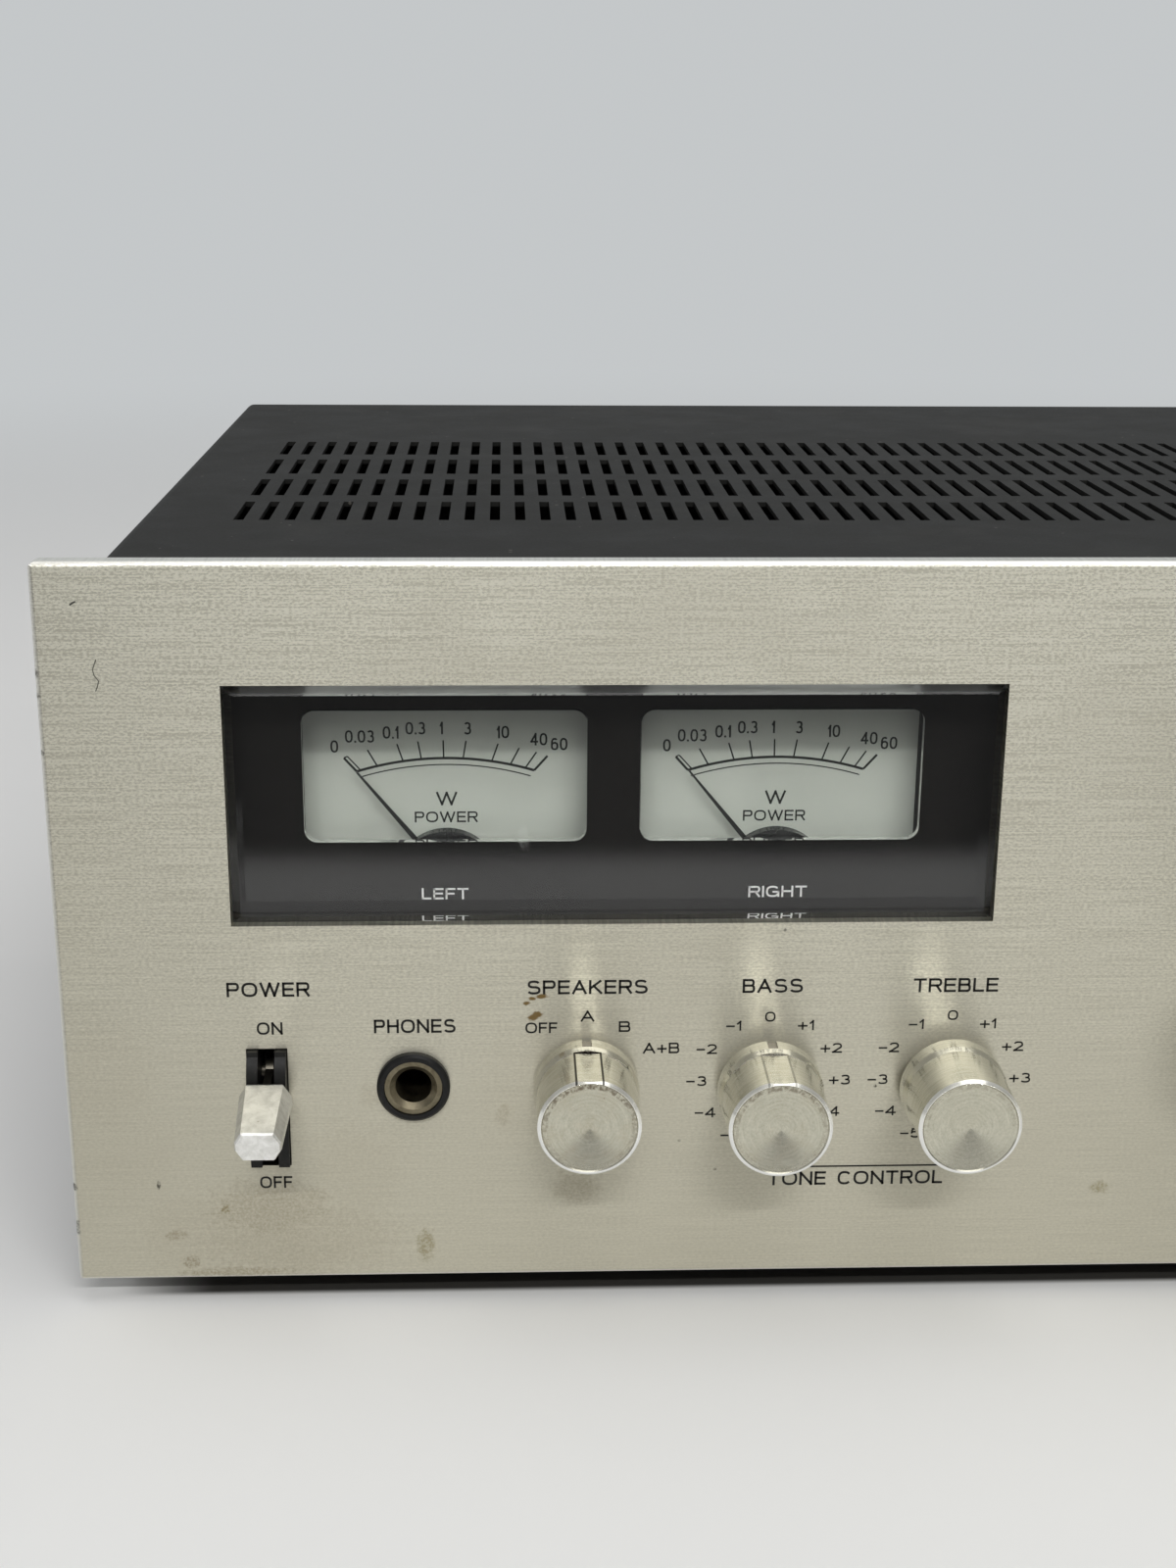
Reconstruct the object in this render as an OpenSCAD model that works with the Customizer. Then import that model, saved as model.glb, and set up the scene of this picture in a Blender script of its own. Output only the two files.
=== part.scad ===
// Stereo amplifier with two power meters, built as an assembly.
// Every size is in millimetres. Inside the modules y = 0 is the face of the front panel,
// +y runs into the case, z = 0 is the table and x = 0 is the middle of the panel.

/* [Case] */
// Width of the front panel
panel_w = 430; // [420:1:470]
// Height of the front panel
panel_h = 135; // [132:1:150]
// Thickness of the front panel
panel_t = 4; // [3:0.5:6]
// Radius of the panel's corners, seen from the front
panel_corner = 1.5; // [1:0.1:4]
// Radius of the panel's front edges
panel_edge = 0.9; // [0.3:0.1:2]
// Height of the panel's lower edge above the table
panel_lift = 5; // [3:0.5:8]
// Depth from the panel's face to the back edge of the cover
case_d = 242; // [230:1:290]
// Step from the panel's end in to the cover's side
side_inset = 7.5; // [4:0.5:10]
// Step from the panel's top edge down to the cover
top_drop = 3.7; // [2:0.1:6]
// Step from the panel's lower edge up to the chassis
base_rise = 4; // [2:0.5:7]
// Thickness of the cover's sheet
cover_t = 1; // [0.8:0.1:1.6]
// Outer radius of the cover's bends
cover_bend = 2.5; // [1.8:0.1:5]
// Thickness of the chassis, sub-panel and rear panel sheets
steel_t = 1.2; // [1:0.1:2]
// Height of the chassis side flanges
flange_h = 20; // [16:1:30]
// Gap between sheets that slide past each other
sheet_gap = 0.4; // [0.2:0.1:0.8]
// Distance of the rear panel in from the cover's back edge
rear_inset = 1; // [0:0.5:4]

/* [Vents] */
// Width of a vent slot
vent_w = 2; // [1.5:0.1:3]
// Length of a vent slot
vent_l = 21; // [15:1:26]
// Spacing of the slots along a row
vent_pitch = 5; // [4:0.5:8]
// Spacing of the rows
vent_row_pitch = 29; // [27:1:34]
// Number of rows
vent_rows = 4; // [1:1:5]
// Distance from the panel's face to the middle of the first row
vent_start = 71; // [50:1:90]
// Distance from the cover's side to the middle of the first slot
vent_margin = 20; // [12:1:40]

// Width of a slot in the chassis, under the gaps between the fins
base_vent_w = 3; // [2:0.1:4]
// Length of a slot in the chassis
base_vent_l = 24; // [16:1:28]

/* [Meter window] */
// Distance of the window from the panel's left end
window_x = 31; // [20:0.5:36]
// Height of the window's lower edge above the panel's middle
window_h0 = 2.5; // [0:0.5:6]
// Width of the window
window_w = 135.2; // [130:0.2:150]
// Height of the window
window_h = 43.7; // [40:0.1:46]
// Bevel of the window's front edges
window_bevel = 1.6; // [0.8:0.1:2.4]
// Width of the flange behind the panel
window_flange = 4; // [2:0.5:5]
// Thickness of the flange
window_flange_t = 2; // [1.5:0.1:3]
// Play of the window in its cut-out
window_play = 0.2; // [0.1:0.05:0.4]
// Depth of the tray between the window and the mask
mask_depth = 5; // [4:0.5:8]
// Thickness of the mask
mask_t = 1.5; // [1:0.1:2.5]

/* [Meters] */
// Width of a meter's opening in the mask
meter_w = 50.4; // [46:0.2:52]
// Height of a meter's opening
meter_h = 24.5; // [20:0.5:26]
// Spacing of the two meters
meter_pitch = 59.8; // [59:0.2:66]
// Height of the openings' middle above the window's middle
meter_rise = 3; // [1:0.5:4]
// Corner radius of the openings
meter_corner = 2.5; // [1:0.1:5]
// How far a lens stands out of the mask
lens_proud = 0.7; // [0.3:0.1:1.5]
// Thickness of a lens flange
lens_flange_t = 1.5; // [1:0.1:2]
// Margin of the case round the opening
case_margin = 2; // [1:0.1:3]
// How far the case reaches below the opening
case_skirt = 18; // [17:0.5:20]
// Wall of a meter case
case_wall = 1.5; // [1:0.1:2.5]
// Depth of a meter case
meter_case_d = 24; // [20:1:32]
// Distance from the lens back to the dial face
dial_depth = 5; // [4:0.5:7]
// Thickness of a dial
dial_t = 0.8; // [0.5:0.1:1.5]
// Distance of the needle pivot below the opening
pivot_drop = 8.3; // [7:0.1:9]
// Length of a needle from its pivot
needle_l = 25.4; // [22:0.2:28]
// Width of a needle
needle_w = 0.6; // [0.4:0.1:1]
// Angle of a needle at rest, left of upright
needle_rest = 39; // [30:1:42]
// Radius of the half-round cover over the pivot
bridge_r = 9.4; // [8:0.1:10]

/* [Lever switches] */
// Distance of the power lever from the panel's left end
power_x = 36.3; // [32:0.1:38]
// Distance of the inner right-hand lever from the panel's right end
tape_x = 122; // [110:0.5:126]
// Distance of the outer right-hand lever from the panel's right end
mode_x = 96; // [90:0.5:98]
// Width of a lever slot
slot_w = 7.4; // [6:0.1:9]
// Height of the slot's lower end above the panel's lower edge
slot_h0 = 23.2; // [20:0.1:27]
// Height of the slot's upper end above the panel's lower edge
slot_h1 = 46.5; // [45:0.1:49]
// Height of the lever pivot above the panel's lower edge
pivot_h = 40; // [38:0.1:41]
// Depth of the lever pivot behind the panel's face
pivot_y = 5; // [3:0.5:6]
// Radius of the round nose of the guide
nose_r = 8.2; // [7.5:0.1:9.8]
// How far the guide stands out of the panel
guide_proud = 1.2; // [0.6:0.1:2]
// Play of the stem in the guide groove, each side
guide_play = 0.8; // [0.4:0.1:1]
// Radius of the lever's pivot pin
pin_r = 1.2; // [0.8:0.1:1.6]
// Thickness of the stem
stem_t = 1.4; // [1:0.1:2]
// Height of the stem
stem_h = 3; // [2:0.1:3.6]
// Gap between the nose and the back of the cap
cap_gap = 0.7; // [0.6:0.1:2]
// Length of the cap
cap_l = 14.3; // [10:0.1:18]
// Width of the cap at its back
cap_w = 9.4; // [8:0.1:11]
// Height of the cap at its back
cap_h = 6.5; // [5:0.1:8]
// Size of the cap's tip compared with its back
cap_taper = 0.87; // [0.7:0.01:1]
// Length of the bevels at the cap's two ends
cap_bevel = 0.5; // [0.2:0.1:1]
// Tilt of a lever at rest, below level
lever_rest = 10; // [6:1:14]

/* [Knobs] */
// Height of the knob row above the panel's lower edge
row_h = 38.8; // [36:0.1:41]
// Distance of the speakers knob from the panel's left end
speakers_x = 93.7; // [90:0.1:96]
// Spacing of the knobs on the left
knob_pitch = 33.2; // [31:0.1:36]
// Distance of the balance knob from the panel's right end
balance_x = 153; // [148:0.5:157]
// Radius of a small knob
knob_r = 9.1; // [8:0.05:11]
// How far a small knob's skirt stands out
skirt_step = 0.4; // [0.2:0.05:2]
// Length of a knob's skirt
skirt_l = 4.8; // [4:0.1:6]
// Distance of a small knob's front from the panel
knob_l = 17.5; // [15:0.5:20]
// Gap between a knob and the panel
knob_gap = 0.8; // [0.6:0.1:2]
// How much further out the bass and treble knobs sit
tone_out = 1.5; // [0:0.1:2]
// Width of the milled flat
flat_w = 4.7; // [3:0.1:7]
// Width of the index groove in the skirt
index_w = 1.7; // [1:0.1:2.5]
// Depth of the index groove
index_d = 0.6; // [0.5:0.1:1.5]
// Width of the bright rim round a knob's face
rim_w = 0.6; // [0.5:0.1:1.5]
// Height of a face's crown at its middle
crown_h = 0.2; // [0.1:0.02:0.24]
// Radius of the control shafts
shaft_r = 3; // [2.5:0.1:3.2]
// Length of the shaft inside a knob
grip_l = 11; // [8:0.5:12]
// Turn of the treble knob at rest, right of upright
treble_rest = 150; // [0:5:150]

/* [Large knobs] */
// Distance of the volume knob to the right of the panel's middle
volume_x = 9; // [7:0.5:15]
// Distance of the selector knob from the panel's right end
selector_x = 58; // [50:0.5:64]
// Height of the large knobs above the panel's lower edge
large_h = 61.5; // [58:0.5:72]
// Radius of a large knob
large_r = 17.5; // [14:0.5:20]
// How far a large knob's skirt stands out
large_skirt_step = 0.7; // [0.3:0.1:3]
// Distance of a large knob's front from the panel
large_l = 20; // [16:0.5:26]
// Turn of the volume knob at rest, left of upright
volume_rest = 150; // [120:5:150]

/* [Controls] */
// Radius of a control's threaded bush
bush_r = 3.7; // [3.5:0.1:4.2]
// Length of the bush in front of the sub-panel
bush_l = 6; // [4:0.5:7]
// Radius of the clearance holes in the panel
panel_hole_r = 4.6; // [4.3:0.1:5.5]
// Radius of a tone control's body
pot_r = 8.2; // [7:0.1:10]
// Depth of a tone control's body
pot_d = 9; // [8:0.5:14]
// Radius of the volume control's body
volume_pot_r = 12.5; // [10:0.5:14]
// Radius of a rotary switch's wafers
wafer_r = 14; // [12:0.5:16]
// Spacing of a rotary switch's wafers
wafer_gap = 7; // [5:0.5:10]
// Thickness of the shaft nuts
nut_t = 2; // [1.5:0.1:3]
// Width of the shaft nuts across flats
nut_flats = 11; // [10:0.5:12]

/* [Phones jack] */
// Distance of the jack from the panel's left end
jack_x = 62.5; // [60:0.1:66]
// Height of the jack above the panel's lower edge
jack_h = 39; // [36:0.1:42]
// Radius of the plug bore
jack_r = 3.3; // [3.2:0.05:3.4]
// Radius of the metal bush
jack_bush_r = 5.2; // [4.6:0.1:5.6]
// Radius of the black ring
ring_r = 6.6; // [6:0.1:8]
// Thickness of the black ring
ring_t = 1.6; // [1:0.1:2.5]
// Width and height of the jack's body
jack_body = 17; // [15:0.5:20]
// Length of the plug bore behind the panel's face
jack_l = 30; // [28:0.5:34]

/* [Feet and screws] */
// Radius of a foot where it meets the chassis
foot_r = 13; // [10:0.5:18]
// Radius of a foot on the table
foot_tip_r = 11; // [9:0.5:13]
// Distance of the feet in from the sides of the cover
foot_x = 42; // [30:1:60]
// Distance of the front feet behind the panel's face
foot_front = 45; // [38:1:60]
// Distance of the rear feet in from the cover's back edge
foot_back = 35; // [25:1:50]
// Radius of a screw's shank
screw_r = 2; // [1.5:0.1:2.2]
// Radius of a screw's head
screw_head_r = 3.8; // [3.2:0.1:4.5]
// Height of a screw's head
screw_head_h = 2.2; // [1.5:0.1:3]
// Distance of the cover screws from the panel's face and from the cover's back edge
screw_end = 38; // [20:1:60]

/* [Inside] */
// Width of the transformer's core
core_w = 84; // [76:1:92]
// Height of the transformer's core
core_h = 70; // [64:1:84]
// Stack depth of the transformer's core
core_d = 42; // [34:1:52]
// Width of the core's outer legs
leg_w = 14; // [12:0.5:16]
// How far the winding bulges from the core
coil_bulge = 13; // [8:0.5:16]
// Distance of the transformer's middle in from the cover's side
transformer_x = 68; // [66:1:74]
// Distance of the transformer's middle behind the panel's face
transformer_y = 130; // [120:1:140]
// Radius of a filter capacitor
capacitor_r = 17; // [12:0.5:18]
// Height of a filter capacitor
capacitor_h = 70; // [50:1:90]
// Gap between the transformer's ears and the capacitors
capacitor_gap = 5; // [3:0.5:10]
// Width of the heat sink
sink_w = 180; // [140:1:190]
// Height of the heat sink
sink_h = 80; // [60:1:100]
// Thickness of the heat sink's back
sink_t = 6; // [4:0.5:8]
// Depth of the fins
fin_d = 30; // [20:1:36]
// Thickness of a fin
fin_t = 2; // [1.5:0.1:3]
// Number of fins
fin_count = 19; // [8:1:24]
// Distance of the heat sink's front behind the panel's face
sink_y = 152; // [148:1:160]
// Depth of the amplifier board
board_d = 70; // [60:1:76]
// Thickness of the circuit boards
board_t = 1.6; // [1:0.1:2.4]
// Height of the stand-offs under the board
standoff_h = 8; // [5:0.5:12]

/* [Rear] */
// Number of input jack pairs
jack_pairs = 6; // [2:1:7]
// Spacing of the input jacks
jack_pitch = 18; // [15:0.5:20]
// Distance of the first pair in from the cover's side
jacks_x = 40; // [30:1:50]
// Height of the lower jacks above the chassis
jacks_z = 62; // [50:1:80]
// Outer radius of an input jack
plug_r = 4.15; // [4.1:0.01:4.2]
// Length of an input jack outside the rear panel
plug_l = 9; // [7:0.5:11]
// Number of speaker terminals
terminal_count = 8; // [4:1:8]
// Spacing of the speaker terminals
terminal_pitch = 12; // [10:0.5:14]
// Height of the terminal strip
terminal_h = 22; // [18:1:30]
// Distance of the strip's middle in from the cover's side
terminal_x = 140; // [120:1:170]
// Height of the strip's middle above the chassis
terminal_z = 40; // [30:1:60]
// Radius of the cord hole through its bushing
cord_r = 3.6; // [3:0.1:4]
// Distance of the bushing in from the cover's side
cord_x = 40; // [30:1:60]
// Height of the bushing above the chassis
cord_z = 26; // [20:1:40]

/* [Hidden] */
$fn = 64;

// Clearances
run_fit = 0.05;
snug = 0.1;
slip = 0.2;
tray_play = 1;
cut = 1;

function from_left(d) = d - panel_w / 2;
function from_right(d) = panel_w / 2 - d;
function up(h) = panel_lift + h;

// Main planes of the case
cover_w = panel_w - 2 * side_inset;
cover_z = up(panel_h - top_drop);
base_z = up(base_rise);
floor_z = base_z + steel_t;
inner_w = cover_w - 2 * cover_t - 2 * sheet_gap;
roof_z = cover_z - cover_t - sheet_gap;
rear_y = case_d - rear_inset;

// Meter stack, from the panel's face inwards
window_back = panel_t + window_flange_t;
mask_y = window_back + mask_depth;
lens_y = mask_y + mask_t;
sub_y = lens_y + lens_flange_t;
sub_back = sub_y + steel_t;
window_mid = from_left(window_x) + window_w / 2;
window_z = up(panel_h / 2 + window_h0) + window_h / 2;
meter_z = window_z + meter_rise;
left_meter = window_mid - meter_pitch / 2;
right_meter = window_mid + meter_pitch / 2;
opening_z0 = meter_z - meter_h / 2;
opening_z1 = meter_z + meter_h / 2;
meter_case_w = meter_w + 2 * case_margin;
meter_case_z0 = opening_z0 - case_skirt;
meter_case_z1 = opening_z1 + case_margin;
dial_y = sub_y + dial_depth;
needle_z = opening_z0 - pivot_drop;
hub_r = 1.5;
core_r = case_skirt - pivot_drop - 2 * case_wall - slip;
neck_r = core_r - 2;
neck_l = 1;
hub_cap = 1;
hub_tail = 3.6;
bridge_gap = 0.4;
needle_t = 0.4;
needle_gap = 1.5;
needle_play = 0.5;
bridge_y0 = sub_y + bridge_gap;
bridge_y1 = dial_y - needle_gap - needle_t - needle_play;

// Places of the controls
speakers_at = from_left(speakers_x);
bass_at = from_left(speakers_x + knob_pitch);
treble_at = from_left(speakers_x + 2 * knob_pitch);
balance_at = from_right(balance_x);
volume_at = volume_x;
selector_at = from_right(selector_x);
row_z = up(row_h);
large_z = up(large_h);
small_controls = [speakers_at, bass_at, treble_at, balance_at];
large_controls = [volume_at, selector_at];
tone_controls = [bass_at, treble_at, balance_at];
lever_places = [from_left(power_x), from_right(tape_x), from_right(mode_x)];
lever_z = up(pivot_h);
guide_w = stem_t + 2 * guide_play;
cap_start = nose_r + cap_gap;
wafer_t = 1.6;
switch_neck_r = 6;
switch_plate_t = 3;
tab_y0 = 2;
tab_t = 2;
tab_l = 6;
tap_gap = 1;
grip_share = 0.5;
bevel_share = 0.06;
bore_share = 0.7;
shaft_share = 0.6;
lever_boss = 1.2;
pin_inset = 0.3;
guide_flange = 3;
guide_flange_h = 4;
guide_flange_t = 4;
guide_back = 2.5;
chamfer = 0.5;
knob_step = 1.3;
face_bevel = 0.25;
rim_d = 0.4;
jack_flare = 1;

// Inside of the case
transformer_at = -cover_w / 2 + transformer_x;
coil_play = 1;
coil_corner = 6;
limb_w = 2 * leg_w;
window_gap = (core_w - 2 * leg_w - limb_w) / 2;
frame_t = 1.6;
frame_ear = 12;
capacitor_at = transformer_at + core_w / 2 + frame_t + frame_ear + capacitor_gap + capacitor_r;
sink_gap = 12;
sink_at = capacitor_at + capacitor_r + sink_gap + sink_w / 2;
fin_step = (sink_w - fin_t) / (fin_count - 1);
fin_mid = sink_y + sink_t + fin_d / 2;
transistor_t = 5;
board_y = sink_y - transistor_t - 2 - board_d;
board_z = floor_z + standoff_h;
standoff_r = 3;
standoff_in = 6;
relay_size = [28, 20, 26];
lamp_size = [24, 8, 6];
lamp_clip = 3;
lamp_r = 1.8;
lead_l = 12;
tone_board_x = 6;
tone_board_z = 8;

// Rear connections
jack_rows = 2;
plug_tail = 8;
plug_bore_r = 1.6;
plug_bore_l = 8;
plug_collar = 1.6;
plug_collar_t = 1.2;
jacks_at = cover_w / 2 - jacks_x;
terminals_at = -cover_w / 2 + terminal_x;
strip_w = (terminal_count + 1) * terminal_pitch;
strip_z = floor_z + terminal_z;
strip_t = 3;
strip_cut_w = strip_w - terminal_pitch;
strip_cut_h = terminal_h / 3;
bushing_at = -cover_w / 2 + cord_x;
bushing_z = floor_z + cord_z;
bushing_r = cord_r + 3;
post_at = jacks_at - jack_pairs * jack_pitch;
post_z = floor_z + jacks_z;
post_r = 5.5;
post_l = 12;
post_stud_r = 2;
post_collar_t = 2;
bushing_lip = 2;
bushing_lip_t = 2.5;
bushing_out = 6;
bushing_in = 4;

// Middle of the whole depth, so that the origin lies under it
lever_reach = (cap_start + cap_l) - pivot_y;
front_reach = max(large_l, knob_l + tone_out, lever_reach);
rear_reach = max(plug_l, post_l);
mid_y = (rear_y + rear_reach - front_reach) / 2;

// Helpers
module place() {
  translate([0, -mid_y, 0])
    children();
}

module wall(y, t) {
  translate([0, y + t, 0])
    rotate([90, 0, 0])
      linear_extrude(t)
        children();
}

module along_x(l) {
  rotate([90, 0, 90])
    translate([0, 0, -l / 2])
      linear_extrude(l)
        children();
}

module rod_y(r, y0, y1) {
  translate([0, y1, 0])
    rotate([90, 0, 0])
      cylinder(r = r, h = y1 - y0);
}

module rounded(w, h, r) {
  square([w - 2 * r, h], center = true);
  square([w, h - 2 * r], center = true);
  for (sx = [-1, 1], sy = [-1, 1])
    translate([sx * (w / 2 - r), sy * (h / 2 - r)])
      circle(r);
}

// Section of a plate with both front corners rounded, its face at y = 0
module edge_section(l, t, r) {
  translate([r, -l / 2])
    square([t - r, l]);
  translate([0, r - l / 2])
    square([t, l - 2 * r]);
  for (s = [-1, 1])
    translate([r, s * (l / 2 - r)])
      circle(r);
}

module box(x0, x1, y0, y1, z0, z1) {
  translate([x0, y0, z0])
    cube([x1 - x0, y1 - y0, z1 - z0]);
}

module screw(shank_l) {
  difference() {
    union() {
      cylinder(r = screw_r, h = shank_l + cut);
      translate([0, 0, -screw_head_h])
        cylinder(r1 = screw_head_r - 0.8, r2 = screw_head_r, h = 0.8);
      translate([0, 0, 0.8 - screw_head_h])
        cylinder(r = screw_head_r, h = screw_head_h - 0.8);
    }
    for (a = [0, 90])
      rotate(a)
        translate([-screw_head_r * 0.6, -0.45, -screw_head_h - cut])
          cube([screw_head_r * 1.2, 0.9, cut + screw_head_h * 0.6]);
  }
}

// Front panel
module panel_mid() {
  translate([0, 0, up(panel_h / 2)])
    children();
}

module front_panel() {
  color([0.71, 0.69, 0.64])
    difference() {
      intersection() {
        panel_mid()
          wall(0, panel_t)
            rounded(panel_w, panel_h, panel_corner);
        panel_mid()
          along_x(panel_w)
            edge_section(panel_h, panel_t, panel_edge);
        translate([0, 0, up(0)])
          linear_extrude(panel_h)
            rotate(90)
              edge_section(panel_w, panel_t, panel_edge);
      }
      translate([window_mid, 0, window_z])
        cube([window_w, 2 * panel_t + cut, window_h], center = true);
      for (x = lever_places)
        box(x - slot_w / 2, x + slot_w / 2, -cut, panel_t + cut, up(slot_h0), up(slot_h1));
      for (x = small_controls)
        translate([x, 0, row_z])
          rod_y(panel_hole_r, -cut, panel_t + cut);
      for (x = large_controls)
        translate([x, 0, large_z])
          rod_y(panel_hole_r, -cut, panel_t + cut);
      translate([from_left(jack_x), 0, up(jack_h)])
        rod_y(jack_bush_r + slip, -cut, panel_t + cut);
    }
}

// Sheet behind the panel, with side flanges that reach the panel's back
module sub_panel() {
  color([0.62, 0.63, 0.64])
    difference() {
      union() {
        wall(sub_y, steel_t)
          sheet_outline();
        for (s = [-1, 1])
          box(s * inner_w / 2 - (s + 1) / 2 * steel_t, s * inner_w / 2 - (s - 1) / 2 * steel_t,
              panel_t, sub_y + cut / 2, floor_z, roof_z - cover_bend);
      }
      for (x = [left_meter, right_meter])
        box(x - meter_case_w / 2 - snug, x + meter_case_w / 2 + snug, sub_y - cut, sub_back + cut,
            meter_case_z0 - snug, meter_case_z1 + snug);
      for (x = small_controls)
        translate([x, 0, row_z])
          rod_y(bush_r + snug, sub_y - cut, sub_back + cut);
      for (x = large_controls)
        translate([x, 0, large_z])
          rod_y(bush_r + snug, sub_y - cut, sub_back + cut);
      box(from_left(jack_x) - jack_body / 2 - snug, from_left(jack_x) + jack_body / 2 + snug,
          sub_y - cut, sub_back + cut, up(jack_h) - jack_body / 2 - snug, up(jack_h) + jack_body / 2 + snug);
    }
}

// Clear window, its face flush with the panel
module meter_window() {
  w = window_w - 2 * window_play;
  h = window_h - 2 * window_play;
  color([0.75, 0.78, 0.76, 0.35])
    translate([window_mid, 0, window_z])
      union() {
        intersection() {
          wall(0, panel_t + cut)
            square([w, h], center = true);
          along_x(w)
            bevel_section(h);
          linear_extrude(h, center = true)
            rotate(90)
              bevel_section(w);
        }
        wall(panel_t, window_flange_t)
          square([window_w + 2 * window_flange, window_h + 2 * window_flange], center = true);
      }
}

module bevel_section(l) {
  polygon([[0, -l / 2 + window_bevel], [window_bevel, -l / 2], [panel_t + cut, -l / 2],
           [panel_t + cut, l / 2], [window_bevel, l / 2], [0, l / 2 - window_bevel]]);
}

// Black tray behind the window
module meter_mask() {
  w = window_w + 2 * window_flange;
  h = window_h + 2 * window_flange;
  color([0.08, 0.08, 0.08])
    difference() {
      translate([window_mid, 0, window_z])
        wall(window_back, mask_depth + mask_t)
          square([w, h], center = true);
      translate([window_mid, 0, window_z])
        wall(window_back - cut, mask_depth + cut)
          square([window_w + 2 * tray_play, window_h + 2 * tray_play], center = true);
      for (x = [left_meter, right_meter])
        translate([x, 0, meter_z])
          wall(window_back, mask_depth + mask_t + cut)
            rounded(meter_w, meter_h, meter_corner);
    }
}

// Meters
module meter_case(x) {
  w = meter_case_w;
  h = meter_case_z1 - meter_case_z0;
  color([0.12, 0.12, 0.12])
    translate([x, 0, (meter_case_z0 + meter_case_z1) / 2])
      difference() {
        wall(sub_y, meter_case_d)
          square([w, h], center = true);
        wall(sub_y - cut, dial_depth + dial_t + cut)
          square([w - 2 * case_wall, h - 2 * case_wall], center = true);
        wall(sub_y, meter_case_d - case_wall)
          square([w - 4 * case_wall, h - 4 * case_wall], center = true);
      }
}

module meter_dial(x) {
  w = meter_case_w - 2 * case_wall - 2 * snug;
  h = meter_case_z1 - meter_case_z0 - 2 * case_wall - 2 * snug;
  color([0.80, 0.82, 0.77])
    difference() {
      translate([x, 0, (meter_case_z0 + meter_case_z1) / 2])
        wall(dial_y, dial_t)
          square([w, h], center = true);
      translate([x, 0, needle_z])
        rod_y(neck_r + slip, dial_y - cut, dial_y + dial_t + cut);
    }
}

module meter_lens(x) {
  color([0.80, 0.82, 0.80, 0.3]) {
    translate([x, 0, meter_z])
      wall(mask_y - lens_proud, lens_proud + mask_t + cut / 2)
        rounded(meter_w - 2 * snug, meter_h - 2 * snug, meter_corner - snug);
    box(x - meter_case_w / 2 - cut, x + meter_case_w / 2 + cut, lens_y, sub_y,
        meter_case_z0 - cut, meter_case_z1 + cut);
  }
}

// Magnet core on the case's back, with the half-round cover in front of the needle hub
module meter_movement(x) {
  back = sub_y + meter_case_d - case_wall;
  color([0.10, 0.10, 0.10])
    translate([x, 0, needle_z])
      difference() {
        union() {
          rod_y(core_r, dial_y + dial_t + slip, back);
          rod_y(neck_r, dial_y - neck_l, dial_y + dial_t + neck_l);
          intersection() {
            union() {
              rod_y(bridge_r, bridge_y0, bridge_y1);
              box(-core_r / 2, core_r / 2, bridge_y0, dial_y, -bridge_r, -hub_r - 1);
            }
            box(-bridge_r, bridge_r, sub_y, back, -case_skirt + pivot_drop + case_wall + snug, bridge_r);
          }
        }
        rod_y(hub_r + run_fit, bridge_y0 + hub_cap, dial_y + dial_t + hub_tail + bridge_gap);
      }
}

module meter_needle(x) {
  color([0.06, 0.06, 0.06])
    translate([x, 0, needle_z])
      rotate([0, -needle_rest, 0])
        union() {
          rod_y(hub_r, bridge_y0 + hub_cap + slip, dial_y + dial_t + hub_tail);
          wall(dial_y - needle_gap - needle_t, needle_t)
            polygon([[-needle_w, 0], [needle_w, 0], [needle_w / 4, needle_l], [-needle_w / 4, needle_l]]);
        }
}

// Lamps in their holders on top of the meter cases
module meter_lamps() {
  color([0.93, 0.90, 0.80])
    for (x = [left_meter, right_meter])
      translate([x, sub_back + lamp_size[1] / 2 + 1, meter_case_z1]) {
        translate([0, 0, lamp_size[2] / 4])
          cube([lamp_size[0], lamp_size[1], lamp_size[2] / 2], center = true);
        for (s = [-1, 1])
          translate([s * (lamp_size[0] - lamp_clip) / 2, 0, lamp_size[2] / 2])
            cube([lamp_clip, lamp_size[1], lamp_size[2]], center = true);
        translate([0, 0, lamp_size[2] - lamp_r])
          rotate([0, 90, 0])
            cylinder(r = lamp_r, h = lamp_size[0] - lamp_clip, center = true);
      }
}

// Lever switches
module lever_frame(x, tilt) {
  translate([x, pivot_y, lever_z])
    rotate([tilt, 0, 0])
      children();
}

module cap_outline(k) {
  w = cap_w * k / 2;
  h = cap_h * k / 2;
  polygon([[-0.7 * w, -h], [0.7 * w, -h], [w, -0.25 * h], [w, 0.25 * h],
           [0.7 * w, h], [-0.7 * w, h], [-w, 0.25 * h], [-w, -0.25 * h]]);
}

module cap_slice(y, k) {
  wall(y, 0.01)
    cap_outline(k);
}

module lever_cap(x) {
  grip = cap_l * grip_share;
  color([0.80, 0.79, 0.76])
    lever_frame(x, lever_rest)
      difference() {
        hull() {
          cap_slice(-cap_start, 1 - bevel_share);
          cap_slice(-cap_start - cap_bevel, 1);
          cap_slice(-cap_start - cap_l + cap_bevel, cap_taper);
          cap_slice(-cap_start - cap_l, cap_taper - bevel_share);
        }
        box(-stem_t / 2 - run_fit, stem_t / 2 + run_fit, -cap_start - grip, cut - cap_start,
            -stem_h / 2 - run_fit, stem_h / 2 + run_fit);
      }
}

module lever_stem(x) {
  pin_l = slot_w - 2 * slip - 2 * pin_inset;
  tip = cap_start + cap_l * grip_share - run_fit;
  color([0.66, 0.64, 0.58])
    lever_frame(x, lever_rest) {
      along_x(stem_t) {
        translate([-tip, -stem_h / 2])
          square([tip, stem_h]);
        circle(pin_r + lever_boss);
      }
      rotate([0, 90, 0])
        cylinder(r = pin_r, h = pin_l, center = true);
    }
}

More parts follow.
